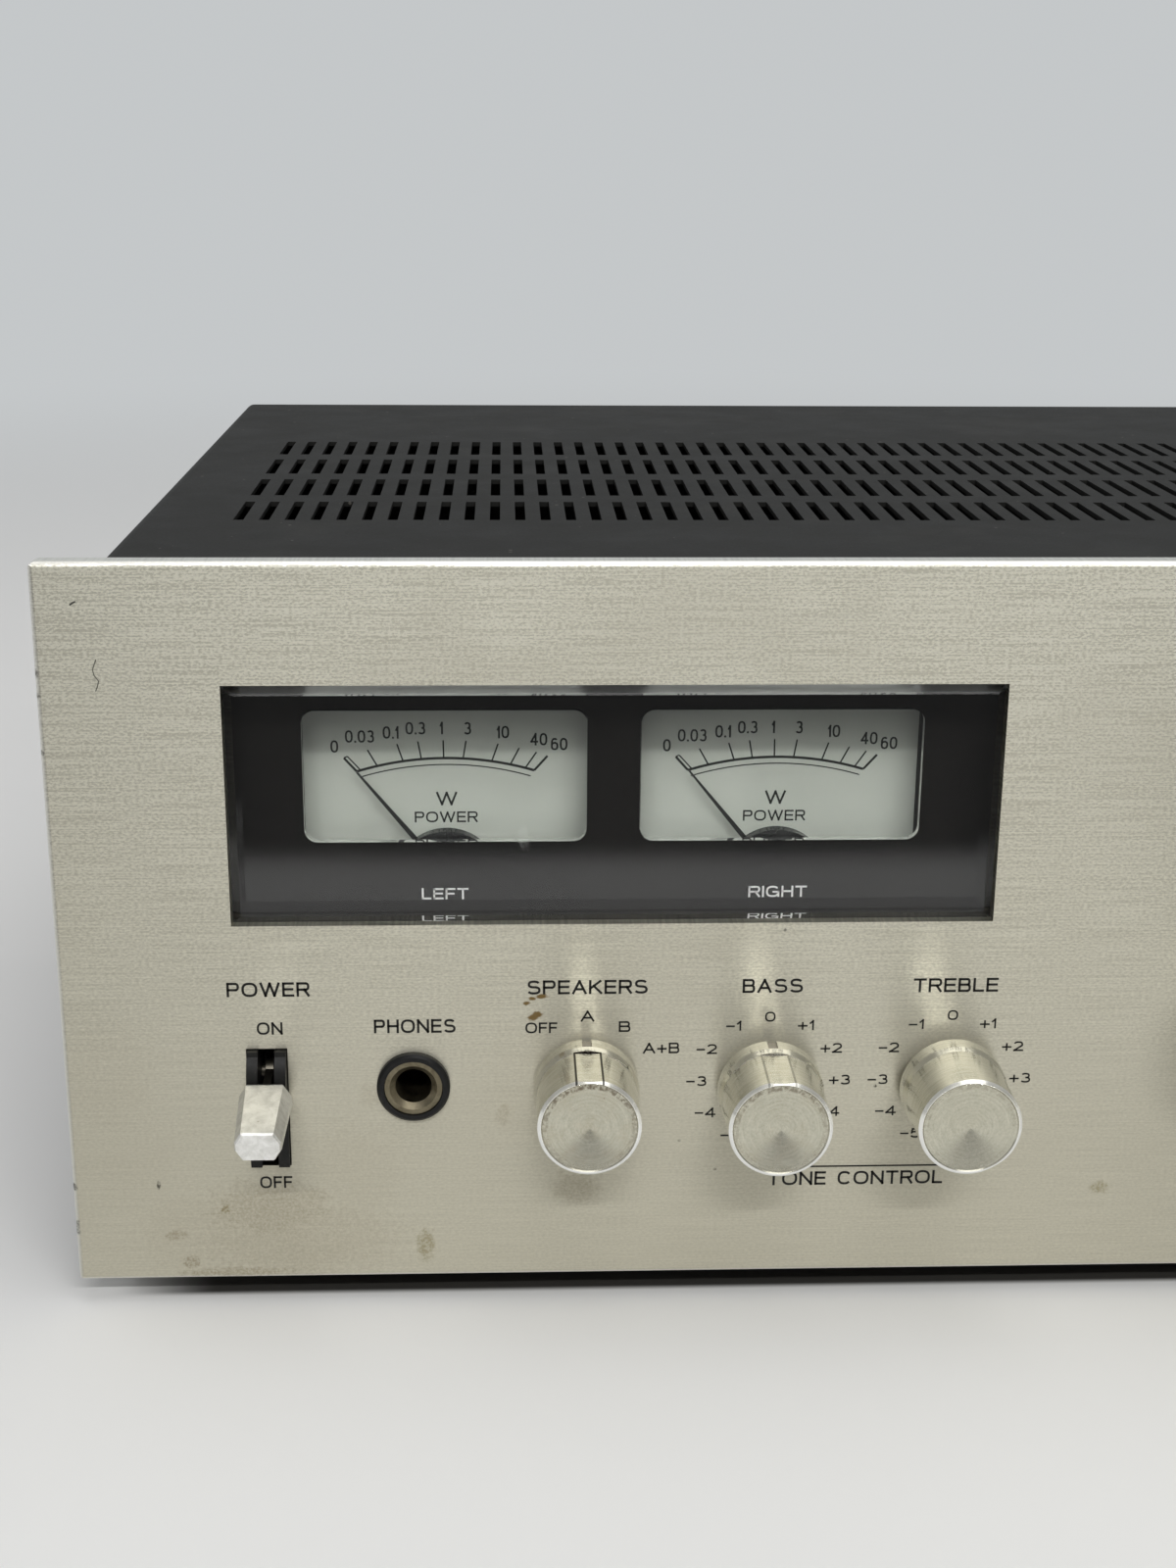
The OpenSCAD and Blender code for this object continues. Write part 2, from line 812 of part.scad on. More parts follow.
// Black guide in each slot, with a round nose, cheeks and a flange on the sub-panel
module lever_switches() {
  w = slot_w - 2 * slip;
  z0 = up(slot_h0) + slip;
  z1 = up(slot_h1) - slip;
  color([0.10, 0.10, 0.10])
    for (x = lever_places)
      translate([x, 0, 0])
        difference() {
          union() {
            along_x(w)
              intersection() {
                union() {
                  translate([-guide_proud, z0])
                    square([sub_y + guide_proud, z1 - z0]);
                  translate([pivot_y, lever_z])
                    circle(nose_r);
                }
                translate([pivot_y - nose_r, z0])
                  square([nose_r + sub_y - pivot_y, z1 - z0]);
              }
            box(-w / 2 - guide_flange, w / 2 + guide_flange, sub_y - guide_flange_t, sub_y,
                z0 - guide_flange_h, z1 + guide_flange_h);
          }
          box(-guide_w / 2, guide_w / 2, -nose_r, pivot_y + pin_r + guide_back, z0 - cut, z1 + cut);
          translate([0, pivot_y, lever_z])
            rotate([0, 90, 0])
              cylinder(r = pin_r + run_fit, h = w + 2 * cut, center = true);
        }
}

// Headphone socket
module phones_jack() {
  lip = ring_t - rim_d;
  color([0.55, 0.53, 0.47])
    translate([from_left(jack_x), 0, up(jack_h)])
      difference() {
        union() {
          rod_y(jack_bush_r, -lip, panel_t + cut);
          box(-jack_body / 2, jack_body / 2, panel_t, jack_l, -jack_body / 2, jack_body / 2);
        }
        rod_y(jack_r, -lip - cut, jack_l + cut);
        translate([0, -lip, 0])
          rotate([-90, 0, 0])
            cylinder(r1 = jack_r + jack_flare, r2 = jack_r, h = jack_flare);
      }
}

module phones_ring() {
  color([0.09, 0.09, 0.09])
    translate([from_left(jack_x), 0, up(jack_h)])
      rotate([90, 0, 0])
        rotate_extrude()
          polygon([[jack_bush_r + snug, 0], [ring_r, 0], [ring_r, ring_t - chamfer],
                   [ring_r - chamfer, ring_t], [jack_bush_r + snug, ring_t]]);
}

// Knobs, turned from a profile, with a milled flat and an index groove
module knob_profile(r, skirt, l) {
  face = r - rim_w - face_bevel;
  polygon([[0, 0], [skirt - rim_d, 0], [skirt, rim_d], [skirt, skirt_l - knob_step], [r, skirt_l],
           [r, l - chamfer], [r - chamfer, l], [r - rim_w, l], [face, l - face_bevel],
           [0, l - face_bevel + crown_h]]);
}

module knob(x, z, r, step, l, turn, out = 0) {
  skirt = r + step;
  body_l = l - knob_gap;
  flat_z = sqrt(r * r - flat_w * flat_w / 4);
  color([0.78, 0.77, 0.73])
    translate([x, -knob_gap - out, z])
      rotate([0, turn, 0])
        difference() {
          rotate([90, 0, 0])
            rotate_extrude()
              knob_profile(r, skirt, body_l);
          box(-r, r, -body_l - cut, -skirt_l, flat_z, r + cut);
          box(-index_w / 2, index_w / 2, knob_step - skirt_l, cut, skirt - index_d, skirt + cut);
          rod_y(shaft_r + run_fit, -grip_l, cut);
        }
}

module shaft(x, z, depth, out = 0) {
  color([0.72, 0.72, 0.70])
    translate([x, 0, z])
      rod_y(shaft_r, -knob_gap - out - grip_l + run_fit, sub_back + depth);
}

module bush(x, z) {
  translate([x, 0, z])
    rod_y(bush_r, sub_back - steel_t - bush_l, sub_back + cut);
}

module shaft_bore(x, z, depth) {
  translate([x, 0, z])
    rod_y(shaft_r + run_fit, sub_y - bush_l - cut, sub_back + depth);
}

// Tone controls: round body, terminal wafer and bush
module tone_pots() {
  color([0.45, 0.45, 0.42])
    for (x = tone_controls)
      difference() {
        union() {
          translate([x, 0, row_z])
            rod_y(pot_r, sub_back, sub_back + pot_d);
          box(x - pot_r * 0.8, x + pot_r * 0.8, sub_back + tab_y0, sub_back + tab_y0 + tab_t,
              row_z - pot_r - tab_l, row_z);
          bush(x, row_z);
        }
        shaft_bore(x, row_z, pot_d * bore_share);
      }
}

module volume_pot() {
  color([0.45, 0.45, 0.42])
    difference() {
      union() {
        for (k = [0, 1])
          translate([volume_at, 0, large_z])
            rod_y(volume_pot_r, sub_back + k * (pot_d + tap_gap), sub_back + k * (pot_d + tap_gap) + pot_d);
        translate([volume_at, 0, large_z])
          rod_y(volume_pot_r - 2 * tap_gap, sub_back, sub_back + 2 * pot_d);
        bush(volume_at, large_z);
      }
      shaft_bore(volume_at, large_z, pot_d * bore_share);
    }
}

// Rotary switches: a neck that carries two round wafers
module rotary_body(x, z) {
  difference() {
    union() {
      translate([x, 0, z]) {
        rod_y(switch_neck_r, sub_back, sub_back + 2 * wafer_gap + wafer_t);
        rod_y(wafer_r - switch_plate_t, sub_back, sub_back + switch_plate_t);
        for (k = [1, 2])
          rod_y(wafer_r, sub_back + k * wafer_gap, sub_back + k * wafer_gap + wafer_t);
      }
      bush(x, z);
    }
    shaft_bore(x, z, pot_d * bore_share);
  }
}

module rotary_switches() {
  color([0.50, 0.42, 0.28]) {
    rotary_body(speakers_at, row_z);
    rotary_body(selector_at, large_z);
  }
}

module shaft_nut(x, z) {
  translate([x, 0, z])
    difference() {
      translate([0, sub_y, 0])
        rotate([90, 0, 0])
          cylinder(r = nut_flats / sqrt(3), h = nut_t, $fn = 6);
      rod_y(bush_r + run_fit, sub_y - nut_t - cut, sub_y + cut);
    }
}

module shaft_nuts() {
  color([0.70, 0.69, 0.62]) {
    for (x = small_controls)
      shaft_nut(x, row_z);
    for (x = large_controls)
      shaft_nut(x, large_z);
  }
}

// Sheet metal frame
module chassis() {
  back = rear_y - steel_t;
  side_z = floor_z + flange_h / 2;
  color([0.60, 0.61, 0.62])
    difference() {
      union() {
        box(-inner_w / 2, inner_w / 2, panel_t, rear_y, base_z, floor_z);
        for (s = [-1, 1])
          box(s * inner_w / 2 - (s + 1) / 2 * steel_t, s * inner_w / 2 - (s - 1) / 2 * steel_t,
              sub_back + sheet_gap, back - sheet_gap, base_z, floor_z + flange_h);
        for (p = standoff_places())
          translate([p[0], p[1], base_z])
            cylinder(r = standoff_r, h = board_z - base_z);
      }
      for (x = foot_xs(), y = foot_ys())
        translate([x, y, base_z - cut])
          cylinder(r = screw_r + snug, h = steel_t + 2 * cut);
      for (s = [-1, 1], y = side_screw_ys())
        translate([s * inner_w / 2, y, side_z])
          rotate([0, 90, 0])
            cylinder(r = screw_r + snug, h = 4 * steel_t, center = true);
      for (i = [1 : fin_count - 1])
        translate([sink_at - (sink_w - fin_t) / 2 + (i - 0.5) * fin_step, fin_mid, floor_z])
          cube([base_vent_w, base_vent_l, 4 * steel_t], center = true);
    }
}

function foot_xs() = [-cover_w / 2 + foot_x, cover_w / 2 - foot_x];
function foot_ys() = [foot_front, case_d - foot_back];
function side_screw_ys() = [screw_end, case_d - screw_end];
function standoff_places() = [
  for (sx = [-1, 1], y = [board_y + standoff_in, board_y + board_d - standoff_in])
    [sink_at + sx * (sink_w / 2 - standoff_in), y]
];

module rear_panel() {
  color([0.16, 0.16, 0.16])
    difference() {
      wall(rear_y - steel_t, steel_t)
        sheet_outline();
      for (p = jack_places())
        translate([p[0], 0, p[1]])
          rod_y(plug_r + snug, rear_y - steel_t - cut, rear_y + cut);
      translate([bushing_at, 0, bushing_z])
        rod_y(bushing_r + snug, rear_y - steel_t - cut, rear_y + cut);
      translate([post_at, 0, post_z])
        rod_y(post_stud_r + snug, rear_y - steel_t - cut, rear_y + cut);
      box(terminals_at - strip_cut_w / 2, terminals_at + strip_cut_w / 2, rear_y - steel_t - cut, rear_y + cut,
          strip_z - strip_cut_h / 2, strip_z + strip_cut_h / 2);
    }
}

function jack_places() = [
  for (i = [0 : jack_pairs - 1], j = [0 : jack_rows - 1])
    [jacks_at - i * jack_pitch, floor_z + jacks_z + j * jack_pitch]
];

// Folded cover with rows of slots
module top_cover() {
  h = cover_z - base_z;
  count = floor((cover_w - 2 * vent_margin) / vent_pitch);
  side_z = floor_z + flange_h / 2;
  color([0.23, 0.23, 0.22])
    difference() {
      wall(panel_t, case_d - panel_t)
        difference() {
          translate([0, base_z])
            cover_outline(cover_w, h, cover_bend);
          translate([0, base_z - cut])
            cover_outline(cover_w - 2 * cover_t, h - cover_t + cut, cover_bend - cover_t);
        }
      for (row = [0 : vent_rows - 1], i = [0 : count])
        translate([(i - count / 2) * vent_pitch, vent_start + row * vent_row_pitch, cover_z])
          cube([vent_w, vent_l, 4 * cover_t], center = true);
      for (s = [-1, 1], y = side_screw_ys())
        translate([s * cover_w / 2, y, side_z])
          rotate([0, 90, 0])
            cylinder(r = screw_r + snug, h = 4 * cover_t, center = true);
    }
}

// Outline of the sheets inside the cover, clear of its bends
module sheet_outline() {
  translate([0, floor_z])
    cover_outline(inner_w, roof_z - floor_z, cover_bend - cover_t);
}

module cover_outline(w, h, r) {
  translate([-w / 2, 0])
    square([w, h - r]);
  translate([-w / 2 + r, 0])
    square([w - 2 * r, h]);
  for (s = [-1, 1])
    translate([s * (w / 2 - r), h - r])
      circle(r);
}

module rubber_feet() {
  recess = base_z / 2;
  color([0.09, 0.09, 0.09])
    for (x = foot_xs(), y = foot_ys())
      translate([x, y, 0])
        difference() {
          cylinder(r1 = foot_tip_r, r2 = foot_r, h = base_z);
          translate([0, 0, -cut])
            cylinder(r = screw_head_r + 1, h = recess + cut);
          cylinder(r = screw_r + snug, h = base_z + cut);
        }
}

module foot_screws() {
  recess = base_z / 2;
  color([0.62, 0.62, 0.60])
    for (x = foot_xs(), y = foot_ys())
      translate([x, y, recess])
        screw(base_z - recess + 2 * steel_t);
}

module cover_screws() {
  color([0.20, 0.20, 0.20])
    for (s = [-1, 1], y = side_screw_ys())
      translate([s * cover_w / 2, y, floor_z + flange_h / 2])
        rotate([0, -s * 90, 0])
          screw(cover_t + sheet_gap + 2 * steel_t);
}

// Mains transformer: laminated core, winding on its middle limb, and a strap frame
module transformer_place() {
  translate([transformer_at, transformer_y, floor_z])
    children();
}

module transformer_core() {
  color([0.33, 0.32, 0.31])
    transformer_place()
      wall(-core_d / 2, core_d)
        difference() {
          translate([-core_w / 2, 0])
            square([core_w, core_h]);
          for (s = [-1, 1])
            translate([s * (limb_w + window_gap) / 2 - window_gap / 2, leg_w])
              square([window_gap, core_h - 2 * leg_w]);
        }
}

module transformer_winding() {
  h = core_h - 2 * leg_w - 2 * coil_play;
  color([0.55, 0.36, 0.18])
    transformer_place()
      translate([0, 0, leg_w + coil_play])
        linear_extrude(h)
          difference() {
            rounded(limb_w + 2 * window_gap - coil_play, core_d + 2 * coil_bulge, coil_corner);
            square([limb_w + snug, core_d + snug], center = true);
          }
}

module transformer_frame() {
  color([0.68, 0.68, 0.66])
    transformer_place()
      difference() {
        wall(-core_d / 2 + 2, core_d - 4)
          difference() {
            union() {
              translate([-core_w / 2 - frame_t, 0])
                square([core_w + 2 * frame_t, core_h + frame_t]);
              translate([-core_w / 2 - frame_t - frame_ear, 0])
                square([core_w + 2 * frame_t + 2 * frame_ear, frame_t]);
            }
            translate([-core_w / 2, -cut])
              square([core_w, core_h + cut]);
          }
        for (s = [-1, 1])
          translate([s * (core_w / 2 + frame_t + frame_ear / 2), 0, -cut])
            cylinder(r = screw_r + snug, h = frame_t + 2 * cut);
      }
}

// Heat sink with upright fins, and the power transistors on its face
module heat_sink() {
  color([0.25, 0.25, 0.26])
    translate([sink_at, sink_y, floor_z])
      linear_extrude(sink_h) {
        translate([-sink_w / 2, 0])
          square([sink_w, sink_t]);
        for (i = [0 : fin_count - 1])
          translate([-sink_w / 2 + i * fin_step, 0])
            square([fin_t, sink_t + fin_d]);
      }
}

module output_transistors() {
  w = 16;
  h = 20;
  color([0.13, 0.13, 0.13])
    for (k = [-1.5, -0.5, 0.5, 1.5])
      translate([sink_at + k * sink_w / 4.5, sink_y - transistor_t, board_z + board_t])
        difference() {
          union() {
            translate([-w / 2, 0, lead_l])
              cube([w, transistor_t, h]);
            for (i = [-1, 0, 1])
              translate([i * 5.4 - 0.6, transistor_t / 2, 0])
                cube([1.2, 0.8, lead_l + cut]);
          }
          translate([0, 0, lead_l + h * 0.75])
            rod_y(1.6, -cut, transistor_t + cut);
        }
}

module filter_capacitors() {
  groove = 0.8;
  bead = 1;
  groove_z = capacitor_h - 7 * bead;
  color([0.12, 0.20, 0.40])
    for (k = [-1, 1])
      translate([capacitor_at, transformer_y + k * (capacitor_r + 1.5), floor_z])
        rotate_extrude()
          polygon([[0, 0], [capacitor_r, 0], [capacitor_r, groove_z],
                   [capacitor_r - groove, groove_z + bead], [capacitor_r - groove, groove_z + 2 * bead],
                   [capacitor_r, groove_z + 3 * bead], [capacitor_r, capacitor_h - bead],
                   [capacitor_r - bead, capacitor_h], [capacitor_r - 3 * bead, capacitor_h],
                   [capacitor_r - 3 * bead, capacitor_h - bead], [0, capacitor_h - bead]]);
}

module amplifier_board() {
  can_r = 5;
  can_h = 14;
  color([0.45, 0.36, 0.16]) {
    translate([sink_at - sink_w / 2, board_y, board_z])
      cube([sink_w, board_d, board_t]);
    for (i = [0 : 4])
      translate([sink_at + (i - 2) * sink_w / 6, board_y + board_d * 0.3, board_z + board_t / 2])
        cylinder(r = can_r, h = can_h);
  }
}

module speaker_relay() {
  color([0.85, 0.84, 0.78])
    translate([sink_at + sink_w / 2 - relay_size[0] - standoff_in, board_y + board_d * 0.5, board_z + board_t])
      cube(relay_size);
}

module tone_board() {
  color([0.45, 0.36, 0.16])
    box(bass_at - pot_r - tone_board_x, treble_at + pot_r + tone_board_x, sub_back + pot_d,
        sub_back + pot_d + board_t, row_z - pot_r - tone_board_z, row_z + pot_r + tone_board_x);
}

// Rear connections
module input_jacks() {
  color([0.72, 0.70, 0.62])
    for (p = jack_places())
      translate([p[0], 0, p[1]])
        difference() {
          union() {
            rod_y(plug_r, rear_y - plug_tail, rear_y + plug_l);
            rod_y(plug_r + plug_collar, rear_y, rear_y + plug_collar_t);
          }
          rod_y(plug_bore_r, rear_y + plug_l - plug_bore_l, rear_y + plug_l + cut);
        }
}

module terminal_strip() {
  rib_t = 1.6;
  rib_d = 9;
  color([0.11, 0.11, 0.11])
    difference() {
      union() {
        box(terminals_at - strip_w / 2, terminals_at + strip_w / 2, rear_y, rear_y + strip_t,
            strip_z - terminal_h / 2, strip_z + terminal_h / 2);
        for (i = [0 : terminal_count])
          translate([terminals_at + (i - terminal_count / 2) * terminal_pitch - rib_t / 2, rear_y,
                     strip_z - terminal_h / 2])
            cube([rib_t, rib_d, terminal_h]);
      }
      for (x = terminal_places())
        translate([x, 0, strip_z])
          rod_y(screw_r - 0.5 + snug, rear_y - cut, rear_y + strip_t + cut);
    }
}

function terminal_places() = [
  for (i = [0 : terminal_count - 1])
    terminals_at + (i - (terminal_count - 1) / 2) * terminal_pitch
];

module terminal_screws() {
  head_r = 3;
  head_h = 2;
  color([0.75, 0.73, 0.66])
    for (x = terminal_places())
      translate([x, rear_y, strip_z])
        difference() {
          union() {
            rod_y(screw_r - 0.5, -2, strip_t + cut);
            rod_y(head_r, strip_t, strip_t + head_h);
          }
          translate([-head_r - cut, strip_t + head_h - 0.8, -0.4])
            cube([2 * head_r + 2 * cut, 2, 0.8]);
        }
}

module ground_post() {
  color([0.74, 0.72, 0.66])
    translate([post_at, rear_y, post_z])
      union() {
        rod_y(post_stud_r, -3 * post_collar_t, post_l);
        rod_y(post_r - chamfer, 0, post_collar_t + chamfer);
        rod_y(post_r, post_collar_t, post_l - 1.5 * post_collar_t);
      }
}

module cord_bushing() {
  color([0.08, 0.08, 0.08])
    translate([bushing_at, rear_y, bushing_z])
      difference() {
        union() {
          rod_y(bushing_r, -steel_t - bushing_in, bushing_out);
          rod_y(bushing_r + bushing_lip, 0, bushing_lip_t);
        }
        rod_y(cord_r, -steel_t - bushing_in - cut, bushing_out + cut);
      }
}

place() front_panel();
place() sub_panel();
place() meter_window();
place() meter_mask();
place() meter_case(left_meter);  // left_meter_case
place() meter_case(right_meter);  // right_meter_case
place() meter_dial(left_meter);  // left_meter_dial
place() meter_dial(right_meter);  // right_meter_dial
place() meter_lens(left_meter);  // left_meter_lens
place() meter_lens(right_meter);  // right_meter_lens
place() meter_movement(left_meter);  // left_meter_movement
place() meter_movement(right_meter);  // right_meter_movement
place() meter_needle(left_meter);  // left_meter_needle
place() meter_needle(right_meter);  // right_meter_needle
place() meter_lamps();
place() lever_cap(lever_places[0]);  // power_lever_cap
place() lever_stem(lever_places[0]);  // power_lever_stem
place() lever_cap(lever_places[1]);  // tape_lever_cap
place() lever_stem(lever_places[1]);  // tape_lever_stem
place() lever_cap(lever_places[2]);  // mode_lever_cap
place() lever_stem(lever_places[2]);  // mode_lever_stem
place() lever_switches();
place() phones_jack();
place() phones_ring();
place() knob(speakers_at, row_z, knob_r, skirt_step, knob_l, 0);  // speakers_knob
place() knob(bass_at, row_z, knob_r, skirt_step, knob_l, 0, tone_out);  // bass_knob
place() knob(treble_at, row_z, knob_r, skirt_step, knob_l, treble_rest, tone_out);  // treble_knob
place() knob(balance_at, row_z, knob_r, skirt_step, knob_l, 0);  // balance_knob
place() knob(volume_at, large_z, large_r, large_skirt_step, large_l, -volume_rest);  // volume_knob
place() knob(selector_at, large_z, large_r, large_skirt_step, large_l, 0);  // selector_knob
place() shaft(speakers_at, row_z, pot_d * shaft_share);  // speakers_shaft
place() shaft(bass_at, row_z, pot_d * shaft_share, tone_out);  // bass_shaft
place() shaft(treble_at, row_z, pot_d * shaft_share, tone_out);  // treble_shaft
place() shaft(balance_at, row_z, pot_d * shaft_share);  // balance_shaft
place() shaft(volume_at, large_z, pot_d * shaft_share);  // volume_shaft
place() shaft(selector_at, large_z, pot_d * shaft_share);  // selector_shaft
place() tone_pots();
place() volume_pot();
place() rotary_switches();
place() shaft_nuts();
place() chassis();
place() rear_panel();
place() top_cover();
place() rubber_feet();
place() foot_screws();
place() cover_screws();
place() transformer_core();
place() transformer_winding();
place() transformer_frame();
place() heat_sink();
place() output_transistors();
place() filter_capacitors();
place() amplifier_board();
place() tone_board();
place() speaker_relay();
place() input_jacks();
place() terminal_strip();
place() terminal_screws();
place() ground_post();
place() cord_bushing();
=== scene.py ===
import math
from functools import reduce

import bpy
import numpy as np
from mathutils import Matrix


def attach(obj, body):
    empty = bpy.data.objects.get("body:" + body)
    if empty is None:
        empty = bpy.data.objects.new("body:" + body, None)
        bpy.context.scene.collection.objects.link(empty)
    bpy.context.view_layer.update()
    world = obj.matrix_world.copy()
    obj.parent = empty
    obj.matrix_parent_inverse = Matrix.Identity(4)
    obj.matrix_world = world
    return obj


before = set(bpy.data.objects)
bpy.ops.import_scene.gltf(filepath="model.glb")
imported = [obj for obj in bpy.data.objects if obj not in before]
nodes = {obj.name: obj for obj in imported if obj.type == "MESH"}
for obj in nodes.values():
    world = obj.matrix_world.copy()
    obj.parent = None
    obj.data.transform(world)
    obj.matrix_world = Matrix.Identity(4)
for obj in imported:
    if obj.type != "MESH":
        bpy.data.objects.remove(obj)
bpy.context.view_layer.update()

mm = 0.001
panelFace = -116.5  # mm, the panel's front along Y
scene = bpy.context.scene
scene.view_settings.view_transform = "Standard"
print("frame loaded:", len(nodes), "nodes")


# A matrix whose columns are three axes and a place
def stand(axisX, axisY, axisZ, place):
    matrix = np.eye(4)
    matrix[:3] = np.stack([axisX, axisY, axisZ, place], 1)
    return Matrix(matrix.tolist())


# Camera: lens and place come from the photograph's straight edges, angles are in degrees
viewpoint = {"lens": 47.357, "sensor": 36, "clip": (0.02, 60), "place": (-0.135549, -0.457381, 0.207911),
             "pitch": 17.4, "yaw": 2.385, "roll": 0.456}


def placeCamera(v):
    pitch, yaw, roll = (math.radians(v[k]) for k in ("pitch", "yaw", "roll"))
    ahead = np.array([math.sin(yaw) * math.cos(pitch), math.cos(yaw) * math.cos(pitch), -math.sin(pitch)])
    right = np.array([math.cos(yaw), -math.sin(yaw), 0.0])
    above = np.cross(right, ahead)
    camX = math.cos(roll) * right + math.sin(roll) * above
    camY = -math.sin(roll) * right + math.cos(roll) * above
    data = bpy.data.cameras.new("photoCamera")
    data.lens, data.sensor_width = v["lens"], v["sensor"]
    data.clip_start, data.clip_end = v["clip"]
    camera = bpy.data.objects.new("photoCamera", data)
    camera.matrix_world = stand(camX, camY, -ahead, v["place"])
    scene.collection.objects.link(camera)
    scene.camera = camera


placeCamera(viewpoint)


# Node helpers: a socket as value makes a link, anything else is set on the input
def setInputs(tree, node, inputs):
    for key, value in inputs.items():
        if isinstance(value, bpy.types.NodeSocket):
            tree.links.new(value, node.inputs[key])
        else:
            node.inputs[key].default_value = value


def addNode(tree, kind, inputs=None, **settings):
    node = tree.nodes.new(kind)
    for key, value in settings.items():
        setattr(node, key, value)
    setInputs(tree, node, inputs or {})
    return node


def maths(tree, operation, a, b=0.0, c=0.0, clamp=False):
    return addNode(tree, "ShaderNodeMath", {0: a, 1: b, 2: c}, operation=operation, use_clamp=clamp).outputs[0]


def product(tree, *values):
    return reduce(lambda a, b: maths(tree, "MULTIPLY", a, b), values)


def largest(tree, *values):
    return reduce(lambda a, b: maths(tree, "MAXIMUM", a, b), values)


def flip(tree, value):
    return maths(tree, "SUBTRACT", 1.0, value)


def vectors(tree, operation, a, b=(0, 0, 0), out=0):
    return addNode(tree, "ShaderNodeVectorMath", {0: a, 1: b}, operation=operation).outputs[out]


def length(tree, vector, keep=(1, 1, 1)):
    return vectors(tree, "LENGTH", vectors(tree, "MULTIPLY", vector, keep), out="Value")


def split(tree, vector):
    return addNode(tree, "ShaderNodeSeparateXYZ", {0: vector}).outputs


def mixColour(tree, amount, a, b):
    return addNode(tree, "ShaderNodeMix", {0: amount, 6: a, 7: b}, data_type="RGBA").outputs[2]


def mixValue(tree, amount, a, b):
    return addNode(tree, "ShaderNodeMix", {0: amount, 2: a, 3: b}).outputs[0]


def ramp(tree, value, low, high, outLow=0.0, outHigh=1.0, smooth=False):
    ends = {0: value, 1: low, 2: high, 3: outLow, 4: outHigh}
    kind = "SMOOTHSTEP" if smooth else "LINEAR"
    return addNode(tree, "ShaderNodeMapRange", ends, interpolation_type=kind).outputs[0]


# The next four take their places in mm
def rampMm(tree, value, low, high, *outs, smooth=False):
    return ramp(tree, value, low * mm, high * mm, *outs, smooth=smooth)


def pulse(tree, value, middle, half):
    apart = maths(tree, "ABSOLUTE", maths(tree, "SUBTRACT", value, middle * mm))
    return rampMm(tree, apart, half * 0.5, half, 1.0, 0.0, smooth=True)


def below(tree, value, limit):
    return maths(tree, "LESS_THAN", value, limit * mm)


def beyond(tree, value, limit):
    return maths(tree, "GREATER_THAN", value, limit * mm)


def noise(tree, vector, scale, detail=2.0, rough=0.5, warp=0.0):
    inputs = {"Vector": vector, "Scale": scale, "Detail": detail, "Roughness": rough, "Distortion": warp}
    return addNode(tree, "ShaderNodeTexNoise", inputs).outputs["Fac"]


def mapped(tree, vector, scale):
    return addNode(tree, "ShaderNodeMapping", {"Vector": vector, "Scale": scale}).outputs[0]


def here(tree):
    return addNode(tree, "ShaderNodeTexCoord").outputs["Object"]


def bump(tree, height, strength, distance, **normal):
    inputs = {"Height": height, "Strength": strength, "Distance": distance, **normal}
    return addNode(tree, "ShaderNodeBump", inputs).outputs[0]


def newGroup(name, ins, outs):
    group = bpy.data.node_groups.new(name, "ShaderNodeTree")
    for label, kind, value in ins:
        socket = group.interface.new_socket(label, in_out="INPUT", socket_type=kind)
        if value is not None:
            socket.default_value = value
    for label, kind in outs:
        group.interface.new_socket(label, in_out="OUTPUT", socket_type=kind)
    return group, group.nodes.new("NodeGroupInput").outputs, group.nodes.new("NodeGroupOutput").inputs


def useGroup(tree, group, **inputs):
    return addNode(tree, "ShaderNodeGroup", inputs, node_tree=group).outputs


number, vector3 = "NodeSocketFloat", "NodeSocketVector"


# Hairlines: a fine noise on coordinates that the caller has stretched
def makeHairlines():
    group, given, out = newGroup("hairlines", [("Vector", vector3, None)], [("Lines", number)])
    group.links.new(noise(group, given["Vector"], 1.0, detail=1.5, rough=0.55), out["Lines"])
    return group


# Smudges: a slow cloud cut off below a level, so that only its tops show
def makeSmudges():
    fade = 0.18
    ins = [("Vector", vector3, None), ("Scale", number, 30.0), ("Level", number, 0.55)]
    group, given, out = newGroup("smudges", ins, [("Mask", number)])
    cloud = noise(group, given["Vector"], given["Scale"], detail=5.0, rough=0.6, warp=0.6)
    top = maths(group, "ADD", given["Level"], fade)
    group.links.new(ramp(group, cloud, given["Level"], top, smooth=True), out["Mask"])
    return group


# Specks: round dots of mixed size in a share of a cell pattern's cells
def makeSpecks():
    least, spread = 0.05, 0.16
    ins = [("Vector", vector3, None), ("Scale", number, 300.0), ("Share", number, 0.1)]
    group, given, out = newGroup("specks", ins, [("Mask", number)])
    cells = addNode(group, "ShaderNodeTexVoronoi", {"Vector": given["Vector"], "Scale": given["Scale"]}).outputs
    pick = addNode(group, "ShaderNodeSeparateColor", {0: cells["Color"]}).outputs
    chosen = maths(group, "LESS_THAN", pick[0], given["Share"])
    dot = maths(group, "LESS_THAN", cells["Distance"], maths(group, "MULTIPLY_ADD", pick[1], spread, least))
    group.links.new(product(group, chosen, dot), out["Mask"])
    return group


# Stain: distance from a place in half sizes, made ragged by a given noise, fading outwards
def makeStain():
    raggedness, core, rim = 1.5, 0.5, 1.15
    ins = [("Vector", vector3, None), ("Place", vector3, (0, 0, 0)), ("Half", vector3, (1, 1, 1)),
           ("Ragged", number, 0.5), ("Weight", number, 1.0)]
    group, given, out = newGroup("stain", ins, [("Mask", number)])
    apart = vectors(group, "DIVIDE", vectors(group, "SUBTRACT", given["Vector"], given["Place"]), given["Half"])
    uneven = maths(group, "MULTIPLY_ADD", given["Ragged"], raggedness, -raggedness / 2)
    far = maths(group, "ADD", length(group, apart, (1, 0, 1)), uneven)
    spot = ramp(group, far, core, rim, 1.0, 0.0, smooth=True)
    group.links.new(product(group, spot, given["Weight"]), out["Mask"])
    return group


